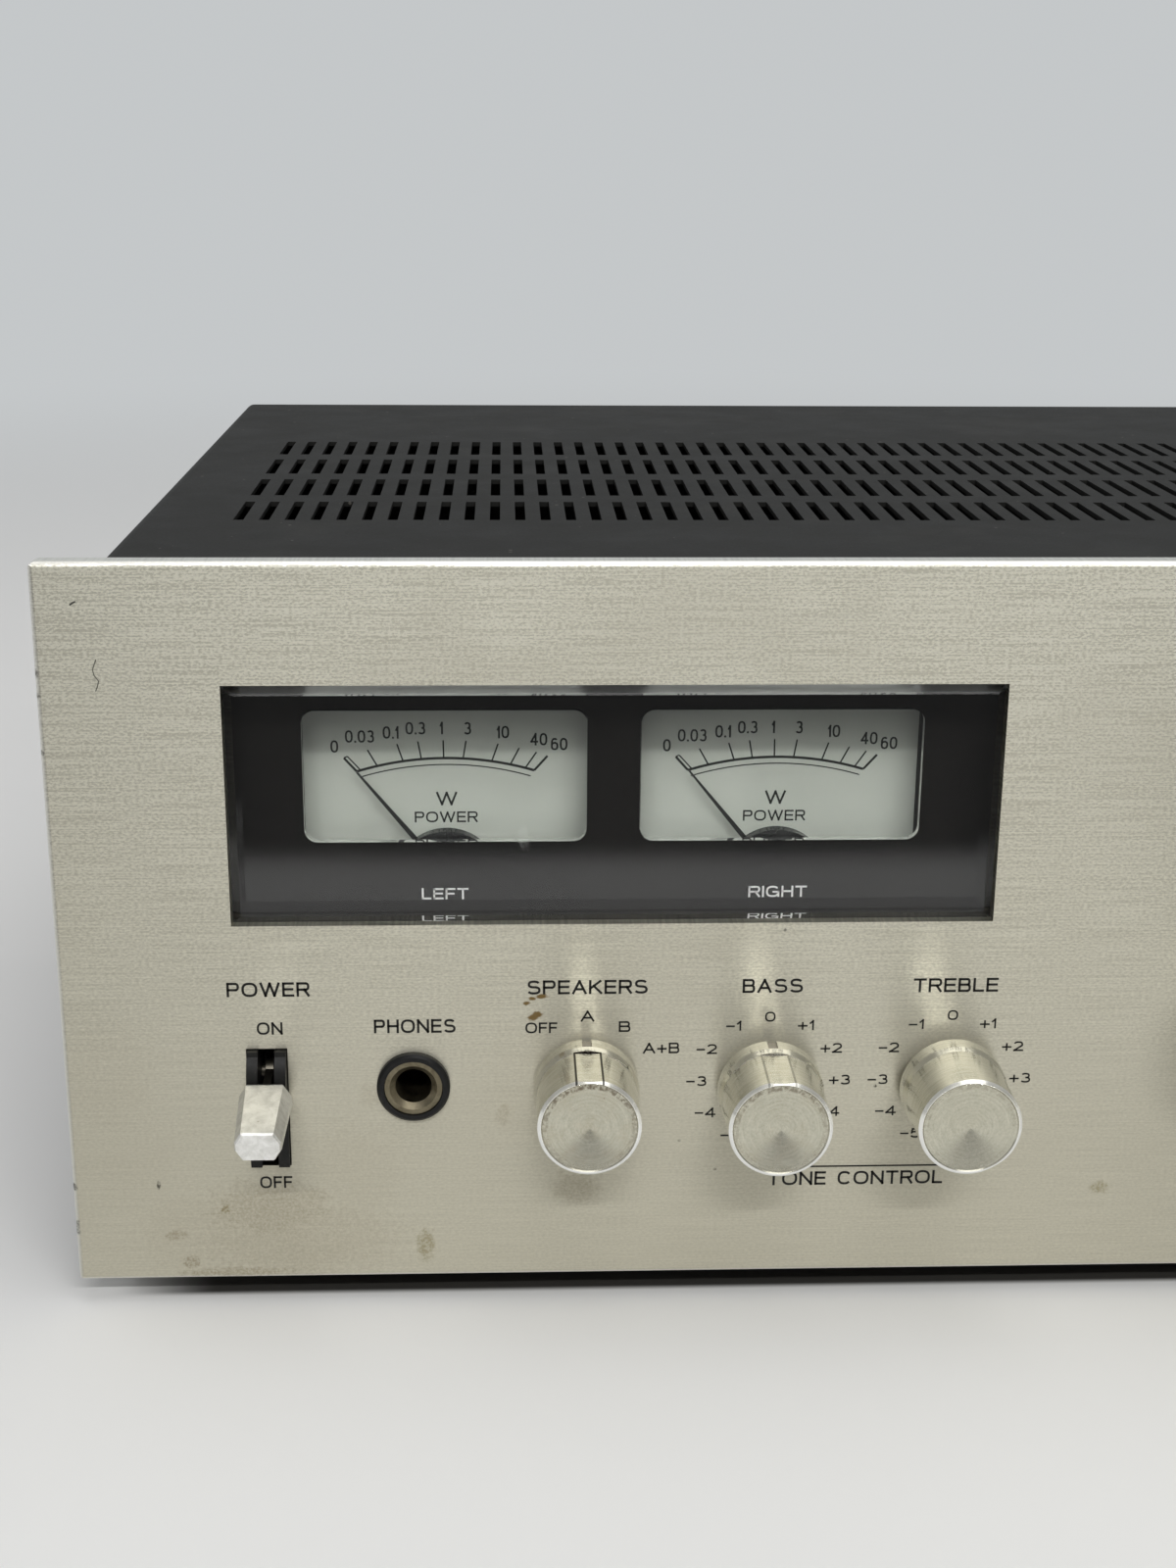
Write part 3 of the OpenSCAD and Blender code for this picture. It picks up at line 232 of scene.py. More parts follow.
# Round: radius from an axis along Y, the place along it, and coordinates that run round it
def makeRound():
    ins = [("Vector", vector3, None), ("Centre", vector3, (0, 0, 0))]
    outs = [("Radius", number), ("Along", number), ("Turned", vector3), ("Local", vector3)]
    group, given, out = newGroup("roundFrom", ins, outs)
    local = vectors(group, "SUBTRACT", given["Vector"], given["Centre"])
    x, along, z = split(group, local)
    radius, angle = length(group, local, (1, 0, 1)), maths(group, "ARCTAN2", z, x)
    turned = addNode(group, "ShaderNodeCombineXYZ", {0: radius, 1: along, 2: angle}).outputs[0]
    for label, socket in (("Radius", radius), ("Along", along), ("Turned", turned), ("Local", local)):
        group.links.new(socket, out[label])
    return group


hairlines, smudges, specks = makeHairlines(), makeSmudges(), makeSpecks()
stain, roundFrom = makeStain(), makeRound()


def maskOf(tree, group, at, **inputs):
    return useGroup(tree, group, Vector=at, **inputs)["Mask"]


def hairs(tree, vector, scale):
    return useGroup(tree, hairlines, Vector=mapped(tree, vector, scale))["Lines"]


# The noise that makes the outlines of stains ragged
def raggedness(tree, at):
    return noise(tree, at, 900.0, detail=3.0, rough=0.6)


# One stain from (x, z, half width, half height, weight), lengths in mm
def stainAt(tree, at, ragged, place):
    x, z, halfX, halfZ, weight = place
    spread = {"Place": (x * mm, 0, z * mm), "Half": (halfX * mm, 1, halfZ * mm)}
    return maskOf(tree, stain, at, Ragged=ragged, Weight=weight, **spread)


def newFinish(name):
    mat = bpy.data.materials.new(name)
    mat.use_nodes = True
    return mat, mat.node_tree, mat.node_tree.nodes["Principled BSDF"]


# Shader inputs by name, with _ for a space
def shade(tree, shader, **inputs):
    setInputs(tree, shader, {label.replace("_", " "): value for label, value in inputs.items()})


def dress(mat, *names):
    for name in names:
        obj = nodes[name]
        if not obj.material_slots:
            obj.data.materials.append(mat)
        obj.material_slots[0].material = mat


# Front panel: horizontal brushing, warm grey anodising, painted shade low down, rubbed edges and old marks
# Ramps are (from, to, weight) in mm, marks are (x, z, half width, half height, weight) in mm
panelLook = {
    "light": (0.905, 0.881, 0.745, 1), "dark": (0.505, 0.488, 0.404, 1), "rough": (0.345, 0.45), "stretch": 0.9,
    "lines": (55, 0, 3600), "grain": (1500, 0, 2800), "grainShare": 0.62, "bump": (0.10, 0.00004),
    "contrast": 8.0, "middle": 0.52, "calm": (45, 120, 0.3),  # brushing is weaker low down
    "cloud": (0.46, 0.43, 0.34, 1), "clouds": {"Scale": 14.0, "Level": 0.48}, "cloudWeight": 0.16,
    # The film tone is painted shade, laid low down and at the left end
    "film": (0.472, 0.442, 0.347, 1), "paintedShadeLow": (30, 133, 0.64), "paintedShadeLeft": (-215, -165, 0.04),
    "edge": (0.92, 0.91, 0.86, 1), "ends": (214.1, 214.7), "top": (139.2, 139.8), "foot": (5.8, 5.2), "paled": 0.8,
    "soilRough": 0.25, "soilDull": 0.8, "brokenScale": 2200.0, "broken": (0.36, 0.62, 0.25, 1.0),
    "marks": {
        "flakes": {"tint": (0.15, 0.092, 0.02, 1), "cover": None, "at": [
            (-129.4, 61.2, 1.5, 0.5, 1), (-130.9, 60.8, 0.7, 0.45, 1), (-132.1, 59.9, 0.75, 0.4, 1),
            (-130.0, 57.7, 1.0, 0.6, 1), (-131.0, 57.1, 1.1, 0.65, 1)]},
        "olive": {"tint": (0.23, 0.19, 0.08, 1), "cover": 0.95, "at": [
            (-150.8, 11.5, 1.9, 3.6, 0.75), (-187.4, 19.3, 0.9, 0.9, 1), (-25.4, 21.6, 1.9, 1.4, 0.8)]},
        "grime": {"tint": (0.25, 0.20, 0.12, 1), "cover": 0.85, "at": [
            (-196.6, 14.0, 2.6, 1.3, 0.7), (-194.1, 8.4, 1.7, 1.5, 0.9), (-179.5, 18.8, 13, 7, 0.5),
            (-170.9, 21.8, 3, 2, 0.5), (-123, 23, 5, 3.5, 0.4), (-136.4, 38.0, 1.5, 2.6, 0.5),
            (-185.5, 6.4, 12, 1.2, 0.7), (-130, 45, 12, 14, 0.16), (-207, 46, 9, 12, 0.14), (-175, 13, 22, 9, 0.34),
            (-193, 15, 12, 9, 0.17), (-163, 27, 9, 12, 0.16), (-203, 30, 8, 14, 0.06), (-160.5, 42, 2, 3, 0.25)]},
        "dots": {"tint": (0.05, 0.045, 0.03, 1), "cover": 0.95, "at": [
            (-199.4, 24.5, 0.45, 0.9, 1), (-214.7, 24.2, 0.6, 0.8, 1), (-214.7, 16.1, 0.6, 1.8, 0.7),
            (-104.1, 32.3, 0.3, 0.3, 1), (-97.4, 26.4, 0.35, 0.3, 1), (-68.4, 42.9, 0.35, 0.35, 1),
            (-86.0, 73.6, 0.35, 0.35, 1), (-214.7, 121, 0.5, 0.8, 1), (-214.7, 117, 0.5, 0.6, 1),
            (-214.7, 107, 0.5, 0.6, 1)]},
    },
}


def panelFinish(look):
    mat, tree, shader = newFinish("brushedPanel")
    at = here(tree)
    x, _, z = split(tree, at)
    lines = hairs(tree, at, look["lines"])
    grain = noise(tree, mapped(tree, at, look["grain"]), 1.0, rough=0.55)
    brushed = mixValue(tree, look["grainShare"], lines, grain)
    tone = product(tree, maths(tree, "SUBTRACT", brushed, 0.5), rampMm(tree, z, *look["calm"], 1.0))
    tone = maths(tree, "MULTIPLY_ADD", tone, look["contrast"], look["middle"], clamp=True)
    colour = mixColour(tree, tone, look["dark"], look["light"])
    cloud = product(tree, maskOf(tree, smudges, at, **look["clouds"]), look["cloudWeight"])
    colour = mixColour(tree, cloud, colour, look["cloud"])
    # Painted shade: a dull tone darkens the panel towards the bottom and a little towards the left end
    film = maths(tree, "ADD", rampMm(tree, z, *look["paintedShadeLow"], 0.0), rampMm(tree, x, *look["paintedShadeLeft"], 0.0))
    colour = mixColour(tree, film, colour, look["film"])
    # Edges rubbed bright: how near a point is to the panel's outline
    ends = rampMm(tree, maths(tree, "ABSOLUTE", x), *look["ends"])
    out = largest(tree, ends, rampMm(tree, z, *look["top"]), rampMm(tree, z, *look["foot"]))
    colour = mixColour(tree, product(tree, out, look["paled"]), colour, look["edge"])
    # Marks have ragged outlines, and all but the flakes are broken up inside
    ragged = raggedness(tree, at)
    broken = ramp(tree, noise(tree, at, look["brokenScale"], detail=3.0, rough=0.6), *look["broken"])
    masks = []
    for mark in look["marks"].values():
        mask = largest(tree, *[stainAt(tree, at, ragged, place) for place in mark["at"]])
        if mark["cover"]:
            mask = product(tree, mask, broken, mark["cover"])
        colour = mixColour(tree, mask, colour, mark["tint"])
        masks.append(mask)
    soil = largest(tree, *masks)
    glossy, dull = look["rough"]
    rough = maths(tree, "MULTIPLY_ADD", soil, look["soilRough"], ramp(tree, tone, 0, 1, dull, glossy))
    upright = addNode(tree, "ShaderNodeCombineXYZ", {2: 1.0}).outputs[0]
    metal = flip(tree, product(tree, soil, look["soilDull"]))
    shade(tree, shader, Base_Color=colour, Roughness=rough, Metallic=metal,
          Normal=bump(tree, brushed, *look["bump"]), Tangent=upright, Anisotropic=look["stretch"])
    return mat


dress(panelFinish(panelLook), "front_panel")
print("panel finished")


# Turned aluminium knobs: spun face, polished sides, a milled flat and dirt in the corners
knobLook = {
    "bright": (0.95, 0.94, 0.865, 1), "dull": (0.75, 0.74, 0.655, 1), "polished": (0.93, 0.925, 0.88, 1),
    "faceBright": (0.68, 0.66, 0.55, 1), "faceDull": (0.48, 0.465, 0.375, 1), "pale": (0.93, 0.93, 0.90, 1),
    "soil": (0.12, 0.085, 0.045, 1), "brown": (0.40, 0.32, 0.20, 1),
    "line": (0.03, 0.026, 0.02, 1), "groove": (0.13, 0.10, 0.06, 1),
    "faceLines": (2800, 0, 1.2), "sideLines": (0, 2600, 1.5), "tones": (0.32, 0.68), "grit": 2400.0,
    "gritShare": 0.5, "brownScale": 300.0, "browned": (0.42, 0.68), "brokenScale": 1300.0, "broken": (0.42, 0.58),
    "dots": {"Scale": 900.0, "Share": 0.09}, "bump": (0.1, 0.00003),
    "sideRough": 0.17, "bevelRough": 0.1, "faceRough": 0.2, "toneRough": 0.06, "soilRough": 0.35, "soilDull": 0.8,
    "brownWeight": 0.2, "rimWeight": 0.9, "stepWeight": 0.7, "dotWeight": 0.5, "ringWeight": 0.5,
    "grooveWeight": 0.7, "lean": -0.185, "stretch": 0.6,
}
# Places in mm: along Y from the knob's back, inwards from its outline, and half widths
# Dirt grows from its least at the first height of upper to the second, and the pale rim so with lower
knobForm = {
    "faceIn": 0.62, "faceDeep": 1.5, "bevel": (-4.15, 0.8), "step": (-5.0, 0.35),
    "rimIn": 1.25, "rimHalf": 0.65, "paleRimIn": 0.2, "paleRimHalf": 0.6, "paleRimDeep": 0.6,
    "upper": (-0.3, 0.9), "upperLeast": 0.25, "lower": (0.55, -0.1), "lowerLeast": 0.1,  # shares of the radius
    "flatShare": 0.9, "flatStart": -4.6, "flatHalf": 2.4, "flatSide": (2.33, 0.26), "flatEnd": (-4.85, 0.26),
    "ringAt": -5.1, "ringIn": 0.3, "ring": (0.75, 0.22),
    "grooveHalf": 0.87, "grooveEnd": -3.52, "grooveIn": 0.5, "blunt": 0.12,
}
smallKnob = {"radius": 9.1, "back": 0.8, "front": 17.5, "turn": 0, "soil": 0.4, "lines": 0.5}
largeKnob = dict(smallKnob, radius=17.5, front=20.0)
knobs = {
    "speakers_knob": dict(smallKnob, centre=(-121.3, 43.8), soil=1.0, lines=1.0),
    "bass_knob": dict(smallKnob, centre=(-88.1, 43.8), back=2.3, front=19.0, soil=0.7),
    "treble_knob": dict(smallKnob, centre=(-54.9, 43.8), back=2.3, front=19.0, turn=150, soil=0.25, lines=0.4),
    "balance_knob": dict(smallKnob, centre=(62.0, 43.8)),
    "volume_knob": dict(largeKnob, centre=(9.0, 66.5), turn=-150),
    "selector_knob": dict(largeKnob, centre=(157.0, 66.5)),
}


def knobFinish(name, k, look, form):
    mat, tree, shader = newFinish(name + "Metal")
    at = here(tree)
    size, depth, soiled = k["radius"], k["front"] - k["back"], k["soil"]
    centre = (k["centre"][0] * mm, (panelFace - k["back"]) * mm, k["centre"][1] * mm)
    turned = useGroup(tree, roundFrom, Vector=at, Centre=centre)
    radius, along = turned["Radius"], turned["Along"]
    onFace = product(tree, below(tree, radius, size - form["faceIn"]), below(tree, along, form["faceDeep"] - depth))
    spun = hairs(tree, turned["Turned"], look["faceLines"])
    spun = mixValue(tree, look["gritShare"], spun, noise(tree, at, look["grit"], rough=0.6))
    lines = mixValue(tree, onFace, hairs(tree, turned["Turned"], look["sideLines"]), spun)
    tone = ramp(tree, lines, *look["tones"])
    sideTone = mixColour(tree, tone, look["dull"], look["bright"])
    colour = mixColour(tree, onFace, sideTone, mixColour(tree, tone, look["faceDull"], look["faceBright"]))
    patchy = noise(tree, at, look["brownScale"], detail=5.0, rough=0.65)
    patchy = ramp(tree, patchy, *look["browned"], smooth=True)
    colour = mixColour(tree, product(tree, patchy, look["brownWeight"] * soiled), colour, look["brown"])
    bevel = pulse(tree, along, *form["bevel"])
    colour = mixColour(tree, bevel, colour, look["polished"])
    # Dirt lies inside the rim, most near the top, at the skirt's step and in scattered dots
    broken = ramp(tree, noise(tree, at, look["brokenScale"], detail=3.0, rough=0.6), *look["broken"])
    height = split(tree, turned["Local"])[2]
    upper = rampMm(tree, height, *(size * share for share in form["upper"]), form["upperLeast"], 1.0)
    rim = pulse(tree, radius, size - form["rimIn"], form["rimHalf"])
    rim = product(tree, rim, onFace, broken, upper, look["rimWeight"] * soiled)
    step = product(tree, pulse(tree, along, *form["step"]), broken, upper, look["stepWeight"] * soiled)
    dots = product(tree, maskOf(tree, specks, at, **look["dots"]), look["dotWeight"] * soiled)
    soil = largest(tree, rim, dots, step)
    colour = mixColour(tree, soil, colour, look["soil"])
    # The flat is edged by thin dark lines, with a small ring at its end; the index groove is tinted
    spin = {"Vector": turned["Local"], "Angle": math.radians(k["turn"])}
    local = addNode(tree, "ShaderNodeVectorRotate", spin, rotation_type="Y_AXIS").outputs[0]
    x, _, z = split(tree, local)
    aside = maths(tree, "ABSOLUTE", x)
    top = beyond(tree, z, size * form["flatShare"])
    edges = product(tree, pulse(tree, aside, *form["flatSide"]), top, below(tree, along, form["flatStart"]))
    cross = product(tree, pulse(tree, along, *form["flatEnd"]), top, below(tree, aside, form["flatHalf"]))
    ring = vectors(tree, "SUBTRACT", local, (0, form["ringAt"] * mm, (size - form["ringIn"]) * mm))
    ring = product(tree, pulse(tree, length(tree, ring), *form["ring"]), top, look["ringWeight"])
    outside = beyond(tree, z, size - form["grooveIn"])
    groove = product(tree, below(tree, aside, form["grooveHalf"]), beyond(tree, along, form["grooveEnd"]), outside,
                     look["grooveWeight"])
    colour = mixColour(tree, groove, colour, look["groove"])
    colour = mixColour(tree, product(tree, largest(tree, edges, cross, ring), k["lines"]), colour, look["line"])
    # The rim is painted pale, mostly on its lower half
    lower = rampMm(tree, height, *(size * share for share in form["lower"]), form["lowerLeast"], 1.0)
    paled = pulse(tree, radius, size - form["paleRimIn"], form["paleRimHalf"])
    paled = product(tree, paled, below(tree, along, form["paleRimDeep"] - depth), lower, flip(tree, soil))
    colour = mixColour(tree, paled, colour, look["pale"])
    rough = mixValue(tree, onFace, mixValue(tree, bevel, look["sideRough"], look["bevelRough"]), look["faceRough"])
    rough = maths(tree, "MULTIPLY_ADD", tone, look["toneRough"], rough)
    rough = maths(tree, "MULTIPLY_ADD", soil, look["soilRough"], rough)
    metal = flip(tree, product(tree, largest(tree, soil, groove, paled), look["soilDull"]))
    # Gloss spreads across the turning marks: outwards on the face, along the axis on the sides
    outwards = vectors(tree, "NORMALIZE", vectors(tree, "MULTIPLY", turned["Local"], (1, 0, 1)))
    across = addNode(tree, "ShaderNodeVectorTransform", {0: mixColour(tree, onFace, (0, 1, 0, 1), outwards)},
                     vector_type="VECTOR", convert_from="OBJECT", convert_to="WORLD").outputs[0]
    # Turning marks lean inwards, as in a very shallow cone with a blunt tip
    blunt = maths(tree, "SQRT", maths(tree, "MULTIPLY_ADD", radius, radius, (form["blunt"] * mm) ** 2))
    facing = addNode(tree, "ShaderNodeNewGeometry").outputs
    facing = mixColour(tree, onFace, facing["Normal"], facing["True Normal"])
    cone = bump(tree, product(tree, blunt, onFace, -look["lean"]), 1.0, 1.0, Normal=facing)
    shade(tree, shader, Base_Color=colour, Roughness=rough, Metallic=metal,
          Normal=bump(tree, lines, *look["bump"], Normal=cone), Tangent=across, Anisotropic=look["stretch"])
    return mat


for name, k in knobs.items():
    dress(knobFinish(name, k, knobLook, knobForm), name)
print("knobs finished")


# Plain finishes: base colour between two tones of a cloud, with grain in roughness and height
usual = {"metal": 0.0, "spec": 0.5, "range": (0.3, 0.7), "grainShare": 0.4, "deep": 0.0001, "dotScale": 520.0,
         "dusty": (0.34, 0.32, 0.28, 1), "dotWeight": 0.25, "filmWeight": 0.4, "filmScale": 0.7, "filmLevel": 0.5}
plain = {
    "coverPaint": {"a": (0.0122, 0.0122, 0.0112, 1), "b": (0.0172, 0.0172, 0.0158, 1), "scale": 60, "grain": 2600,
        "rough": (0.52, 0.66), "height": 0.25, "dust": 0.04, "spec": 0.12, "on": ["top_cover"]},
    "rearPaint": {"a": (0.018, 0.018, 0.018, 1), "b": (0.028, 0.028, 0.027, 1), "scale": 50, "grain": 1800,
        "rough": (0.42, 0.58), "height": 0.3, "dust": 0.06, "spec": 0.4, "on": ["rear_panel"]},
    "zincSheet": {"a": (0.46, 0.46, 0.44, 1), "b": (0.60, 0.60, 0.57, 1), "scale": 45, "grain": 700,
        "rough": (0.3, 0.45), "metal": 1.0, "height": 0.08, "dust": 0.03,
        "on": ["sub_panel", "chassis", "transformer_frame"]},
    "maskBlack": {"a": (0.006, 0.0055, 0.005, 1), "b": (0.010, 0.009, 0.008, 1), "scale": 40, "grain": 900,
        "rough": (0.5, 0.6), "height": 0.01, "dust": 0.0, "spec": 0.06,
        "on": ["meter_mask", "left_meter_case", "right_meter_case"]},
    "bridgeBlack": {"a": (0.010, 0.010, 0.010, 1), "b": (0.02, 0.02, 0.02, 1), "scale": 200, "grain": 2500,
        "rough": (0.16, 0.26), "height": 0.05, "dust": 0.03, "on": ["left_meter_movement", "right_meter_movement"]},
    "needleBlack": {"a": (0.010, 0.010, 0.010, 1), "b": (0.018, 0.018, 0.018, 1), "scale": 300, "grain": 2500,
        "rough": (0.4, 0.5), "height": 0.05, "dust": 0.0, "spec": 0.4,
        "on": ["left_meter_needle", "right_meter_needle"]},
    "guideBlack": {"a": (0.005, 0.005, 0.0045, 1), "b": (0.011, 0.0105, 0.009, 1), "scale": 320, "grain": 2400,
        "rough": (0.34, 0.55), "height": 0.2, "dust": 0.06, "spec": 0.25, "on": ["lever_switches"]},
    "ringBlack": {"a": (0.004, 0.004, 0.004, 1), "b": (0.008, 0.008, 0.0075, 1), "scale": 300, "grain": 2400,
        "rough": (0.3, 0.45), "height": 0.1, "dust": 0.05, "spec": 0.25, "on": ["phones_ring"]},
    "jackNickel": {"a": (0.13, 0.11, 0.07, 1), "b": (0.29, 0.255, 0.175, 1), "scale": 420, "grain": 2200,
        "rough": (0.3, 0.5), "metal": 1.0, "height": 0.12, "dust": 0.1, "on": ["phones_jack"]},
    "brightSteel": {"a": (0.55, 0.54, 0.50, 1), "b": (0.70, 0.69, 0.65, 1), "scale": 300, "grain": 2600,
        "rough": (0.2, 0.34), "metal": 1.0, "height": 0.08, "dust": 0.05,
        "on": ["speakers_shaft", "bass_shaft", "treble_shaft", "balance_shaft", "volume_shaft", "selector_shaft",
               "shaft_nuts", "foot_screws", "terminal_screws", "ground_post"]},
    "stemMetal": {"a": (0.12, 0.11, 0.09, 1), "b": (0.20, 0.185, 0.15, 1), "scale": 400, "grain": 2600,
        "rough": (0.32, 0.5), "metal": 1.0, "height": 0.1, "dust": 0.1,
        "on": ["power_lever_stem", "tape_lever_stem", "mode_lever_stem"]},
    "coverScrew": {"a": (0.05, 0.05, 0.048, 1), "b": (0.10, 0.10, 0.095, 1), "scale": 500, "grain": 2600,
        "rough": (0.3, 0.45), "metal": 1.0, "height": 0.08, "dust": 0.06, "on": ["cover_screws"]},
    "footRubber": {"a": (0.012, 0.012, 0.012, 1), "b": (0.026, 0.026, 0.025, 1), "scale": 150, "grain": 1600,
        "rough": (0.62, 0.8), "height": 0.3, "dust": 0.1, "spec": 0.3, "on": ["rubber_feet"]},
    "bushingNylon": {"a": (0.012, 0.012, 0.012, 1), "b": (0.022, 0.022, 0.022, 1), "scale": 200, "grain": 1800,
        "rough": (0.4, 0.52), "height": 0.15, "dust": 0.06, "on": ["cord_bushing", "output_transistors"]},
    "stripPhenolic": {"a": (0.020, 0.018, 0.016, 1), "b": (0.036, 0.031, 0.027, 1), "scale": 220, "grain": 1500,
        "rough": (0.3, 0.46), "height": 0.18, "dust": 0.08, "on": ["terminal_strip"]},
    "jackPlating": {"a": (0.62, 0.59, 0.50, 1), "b": (0.74, 0.71, 0.62, 1), "scale": 320, "grain": 2400,
        "rough": (0.18, 0.34), "metal": 1.0, "height": 0.08, "dust": 0.08, "on": ["input_jacks"]},
    "coreSteel": {"a": (0.16, 0.155, 0.15, 1), "b": (0.26, 0.25, 0.24, 1), "scale": 90, "grain": 900,
        "rough": (0.4, 0.6), "metal": 1.0, "height": 0.2, "dust": 0.06, "on": ["transformer_core"]},
    "windingTape": {"a": (0.36, 0.20, 0.07, 1), "b": (0.52, 0.32, 0.13, 1), "scale": 80, "grain": 1400,
        "rough": (0.3, 0.45), "height": 0.2, "dust": 0.06, "on": ["transformer_winding"]},
    "sinkBlack": {"a": (0.022, 0.022, 0.023, 1), "b": (0.036, 0.036, 0.038, 1), "scale": 70, "grain": 1500,
        "rough": (0.4, 0.55), "metal": 0.6, "height": 0.15, "dust": 0.08, "on": ["heat_sink"]},
    "sleeveBlue": {"a": (0.012, 0.030, 0.10, 1), "b": (0.022, 0.05, 0.15, 1), "scale": 80, "grain": 900,
        "rough": (0.25, 0.36), "height": 0.06, "dust": 0.05, "on": ["filter_capacitors"]},
    "boardResin": {"a": (0.30, 0.20, 0.06, 1), "b": (0.40, 0.28, 0.10, 1), "scale": 90, "grain": 1400,
        "rough": (0.4, 0.55), "height": 0.12, "dust": 0.06, "on": ["amplifier_board", "tone_board"]},
    "relayCase": {"a": (0.66, 0.64, 0.55, 1), "b": (0.74, 0.72, 0.64, 1), "scale": 120, "grain": 1500,
        "rough": (0.2, 0.32), "height": 0.05, "dust": 0.05, "on": ["speaker_relay"]},
    "controlTin": {"a": (0.34, 0.33, 0.30, 1), "b": (0.48, 0.47, 0.43, 1), "scale": 200, "grain": 1500,
        "rough": (0.28, 0.42), "metal": 1.0, "height": 0.1, "dust": 0.06, "on": ["tone_pots", "volume_pot"]},
    "waferPhenolic": {"a": (0.26, 0.16, 0.06, 1), "b": (0.36, 0.24, 0.10, 1), "scale": 200, "grain": 1500,
        "rough": (0.4, 0.55), "height": 0.12, "dust": 0.06, "on": ["rotary_switches"]},
    "lampHolder": {"a": (0.62, 0.58, 0.46, 1), "b": (0.74, 0.70, 0.58, 1), "scale": 200, "grain": 1500,
        "rough": (0.3, 0.42), "height": 0.05, "dust": 0.03, "on": ["meter_lamps"]},
}


def plainFinish(name, p):
    mat, tree, shader = newFinish(name)
    at = here(tree)
    cloud = noise(tree, at, p["scale"], detail=4.0, rough=0.6, warp=0.3)
    grain = noise(tree, at, p["grain"], detail=3.0, rough=0.6)
    colour = mixColour(tree, ramp(tree, cloud, *p["range"]), p["a"], p["b"])
    dots = maskOf(tree, specks, at, Scale=p["dotScale"], Share=p["dust"])
    film = maskOf(tree, smudges, at, Scale=p["scale"] * p["filmScale"], Level=p["filmLevel"])
    film = product(tree, film, p["dust"] * p["filmWeight"])
    colour = mixColour(tree, largest(tree, product(tree, dots, p["dotWeight"]), film), colour, p["dusty"])
    rough = ramp(tree, mixValue(tree, p["grainShare"], cloud, grain), *p["range"], *p["rough"])
    shade(tree, shader, Base_Color=colour, Roughness=rough, Normal=bump(tree, grain, p["height"], p["deep"]),
          Metallic=p["metal"], Specular_IOR_Level=p["spec"])
    return mat


for name, p in plain.items():
    dress(plainFinish(name, dict(usual, **p)), *p["on"])
print("plain finishes done")


# Lever caps: bright satin with rubbed patches
leverLook = {"light": (0.96, 0.955, 0.93, 1), "dark": (0.74, 0.735, 0.70, 1), "soil": (0.25, 0.2, 0.13, 1),
             "lines": (1500, 260, 1500), "lineShare": 0.3, "wornScale": 520.0, "worn": (0.35, 0.62),
             "dots": {"Scale": 900.0, "Share": 0.08}, "soilWeight": 0.45, "rough": (0.35, 0.65, 0.46, 0.3),
             "metal": 0.88, "bump": (0.12, 0.0001)}


def leverFinish(look):
    mat, tree, shader = newFinish("leverSatin")
    at = here(tree)
    lines = hairs(tree, at, look["lines"])
    worn = noise(tree, at, look["wornScale"], detail=5.0, rough=0.65, warp=0.4)
    colour = mixColour(tree, ramp(tree, worn, *look["worn"]), look["dark"], look["light"])
    dots = product(tree, maskOf(tree, specks, at, **look["dots"]), look["soilWeight"])
    colour = mixColour(tree, dots, colour, look["soil"])
    rough = ramp(tree, mixValue(tree, look["lineShare"], worn, lines), *look["rough"])
    shade(tree, shader, Base_Color=colour, Roughness=rough, Metallic=look["metal"],
          Normal=bump(tree, maths(tree, "ADD", worn, lines), *look["bump"]))
    return mat


dress(leverFinish(leverLook), "power_lever_cap", "tape_lever_cap", "mode_lever_cap")


# Dials: pale printed card
dialLook = {"a": (0.545, 0.55, 0.505, 1), "b": (0.60, 0.605, 0.56, 1), "tones": (0.35, 0.65), "fibre": 2400.0,
            "cloud": 70.0, "cloudShare": 0.6, "rough": (0.3, 0.7, 0.55, 0.7), "bump": (0.05, 0.00005)}


def dialFinish(look):
    mat, tree, shader = newFinish("dialCard")
    at = here(tree)
    fibre = noise(tree, at, look["fibre"], detail=3.0, rough=0.6)
    both = mixValue(tree, look["cloudShare"], fibre, noise(tree, at, look["cloud"], detail=3.0))
    colour = mixColour(tree, ramp(tree, both, *look["tones"]), look["a"], look["b"])
    shade(tree, shader, Base_Color=colour, Roughness=ramp(tree, fibre, *look["rough"]),
          Normal=bump(tree, fibre, *look["bump"]))
    return mat


dress(dialFinish(dialLook), "left_meter_dial", "right_meter_dial")


# Clear acrylic: bends light for the eye and lets lamp light through
# A finger mark dulls one spot, and the top edge is left as sawn
clearLook = {"mark": (-132.5, 90.6, 1.3, 1.8, 1.0), "dull": 0.22, "sawn": (117.0, 117.2, 0.0, 0.28), "bend": 1.49,
             "window": (0.97, 0.975, 0.97, 1), "lens": (0.97, 0.985, 0.97, 1), "smeared": (0.93, 0.932, 0.925, 1),
             "film": {"Scale": 55.0, "Level": 0.56}, "shadow": (0.9, 0.91, 0.9, 1)}


def clearFinish(name, tint, look):
    mat, tree, shader = newFinish(name)
    at = here(tree)
    film = maskOf(tree, smudges, at, **look["film"])
    mark = product(tree, stainAt(tree, at, raggedness(tree, at), look["mark"]), look["dull"])
    rough = largest(tree, rampMm(tree, split(tree, at)[2], *look["sawn"]), mark)
    shade(tree, shader, Base_Color=mixColour(tree, film, tint, look["smeared"]), Roughness=rough,
          Metallic=0.0, Transmission_Weight=1.0, IOR=look["bend"])
    ray = addNode(tree, "ShaderNodeLightPath").outputs["Is Shadow Ray"]
    through = addNode(tree, "ShaderNodeBsdfTransparent", {"Color": look["shadow"]})
    both = addNode(tree, "ShaderNodeMixShader", {0: ray, 1: shader.outputs[0], 2: through.outputs[0]})
    tree.links.new(both.outputs[0], tree.nodes["Material Output"].inputs[0])
    return mat


lensLook = dict(clearLook, dull=0.0)
dress(clearFinish("windowAcrylic", clearLook["window"], clearLook), "meter_window")
dress(clearFinish("lensAcrylic", lensLook["lens"], lensLook), "left_meter_lens", "right_meter_lens")
print("clear pieces done")


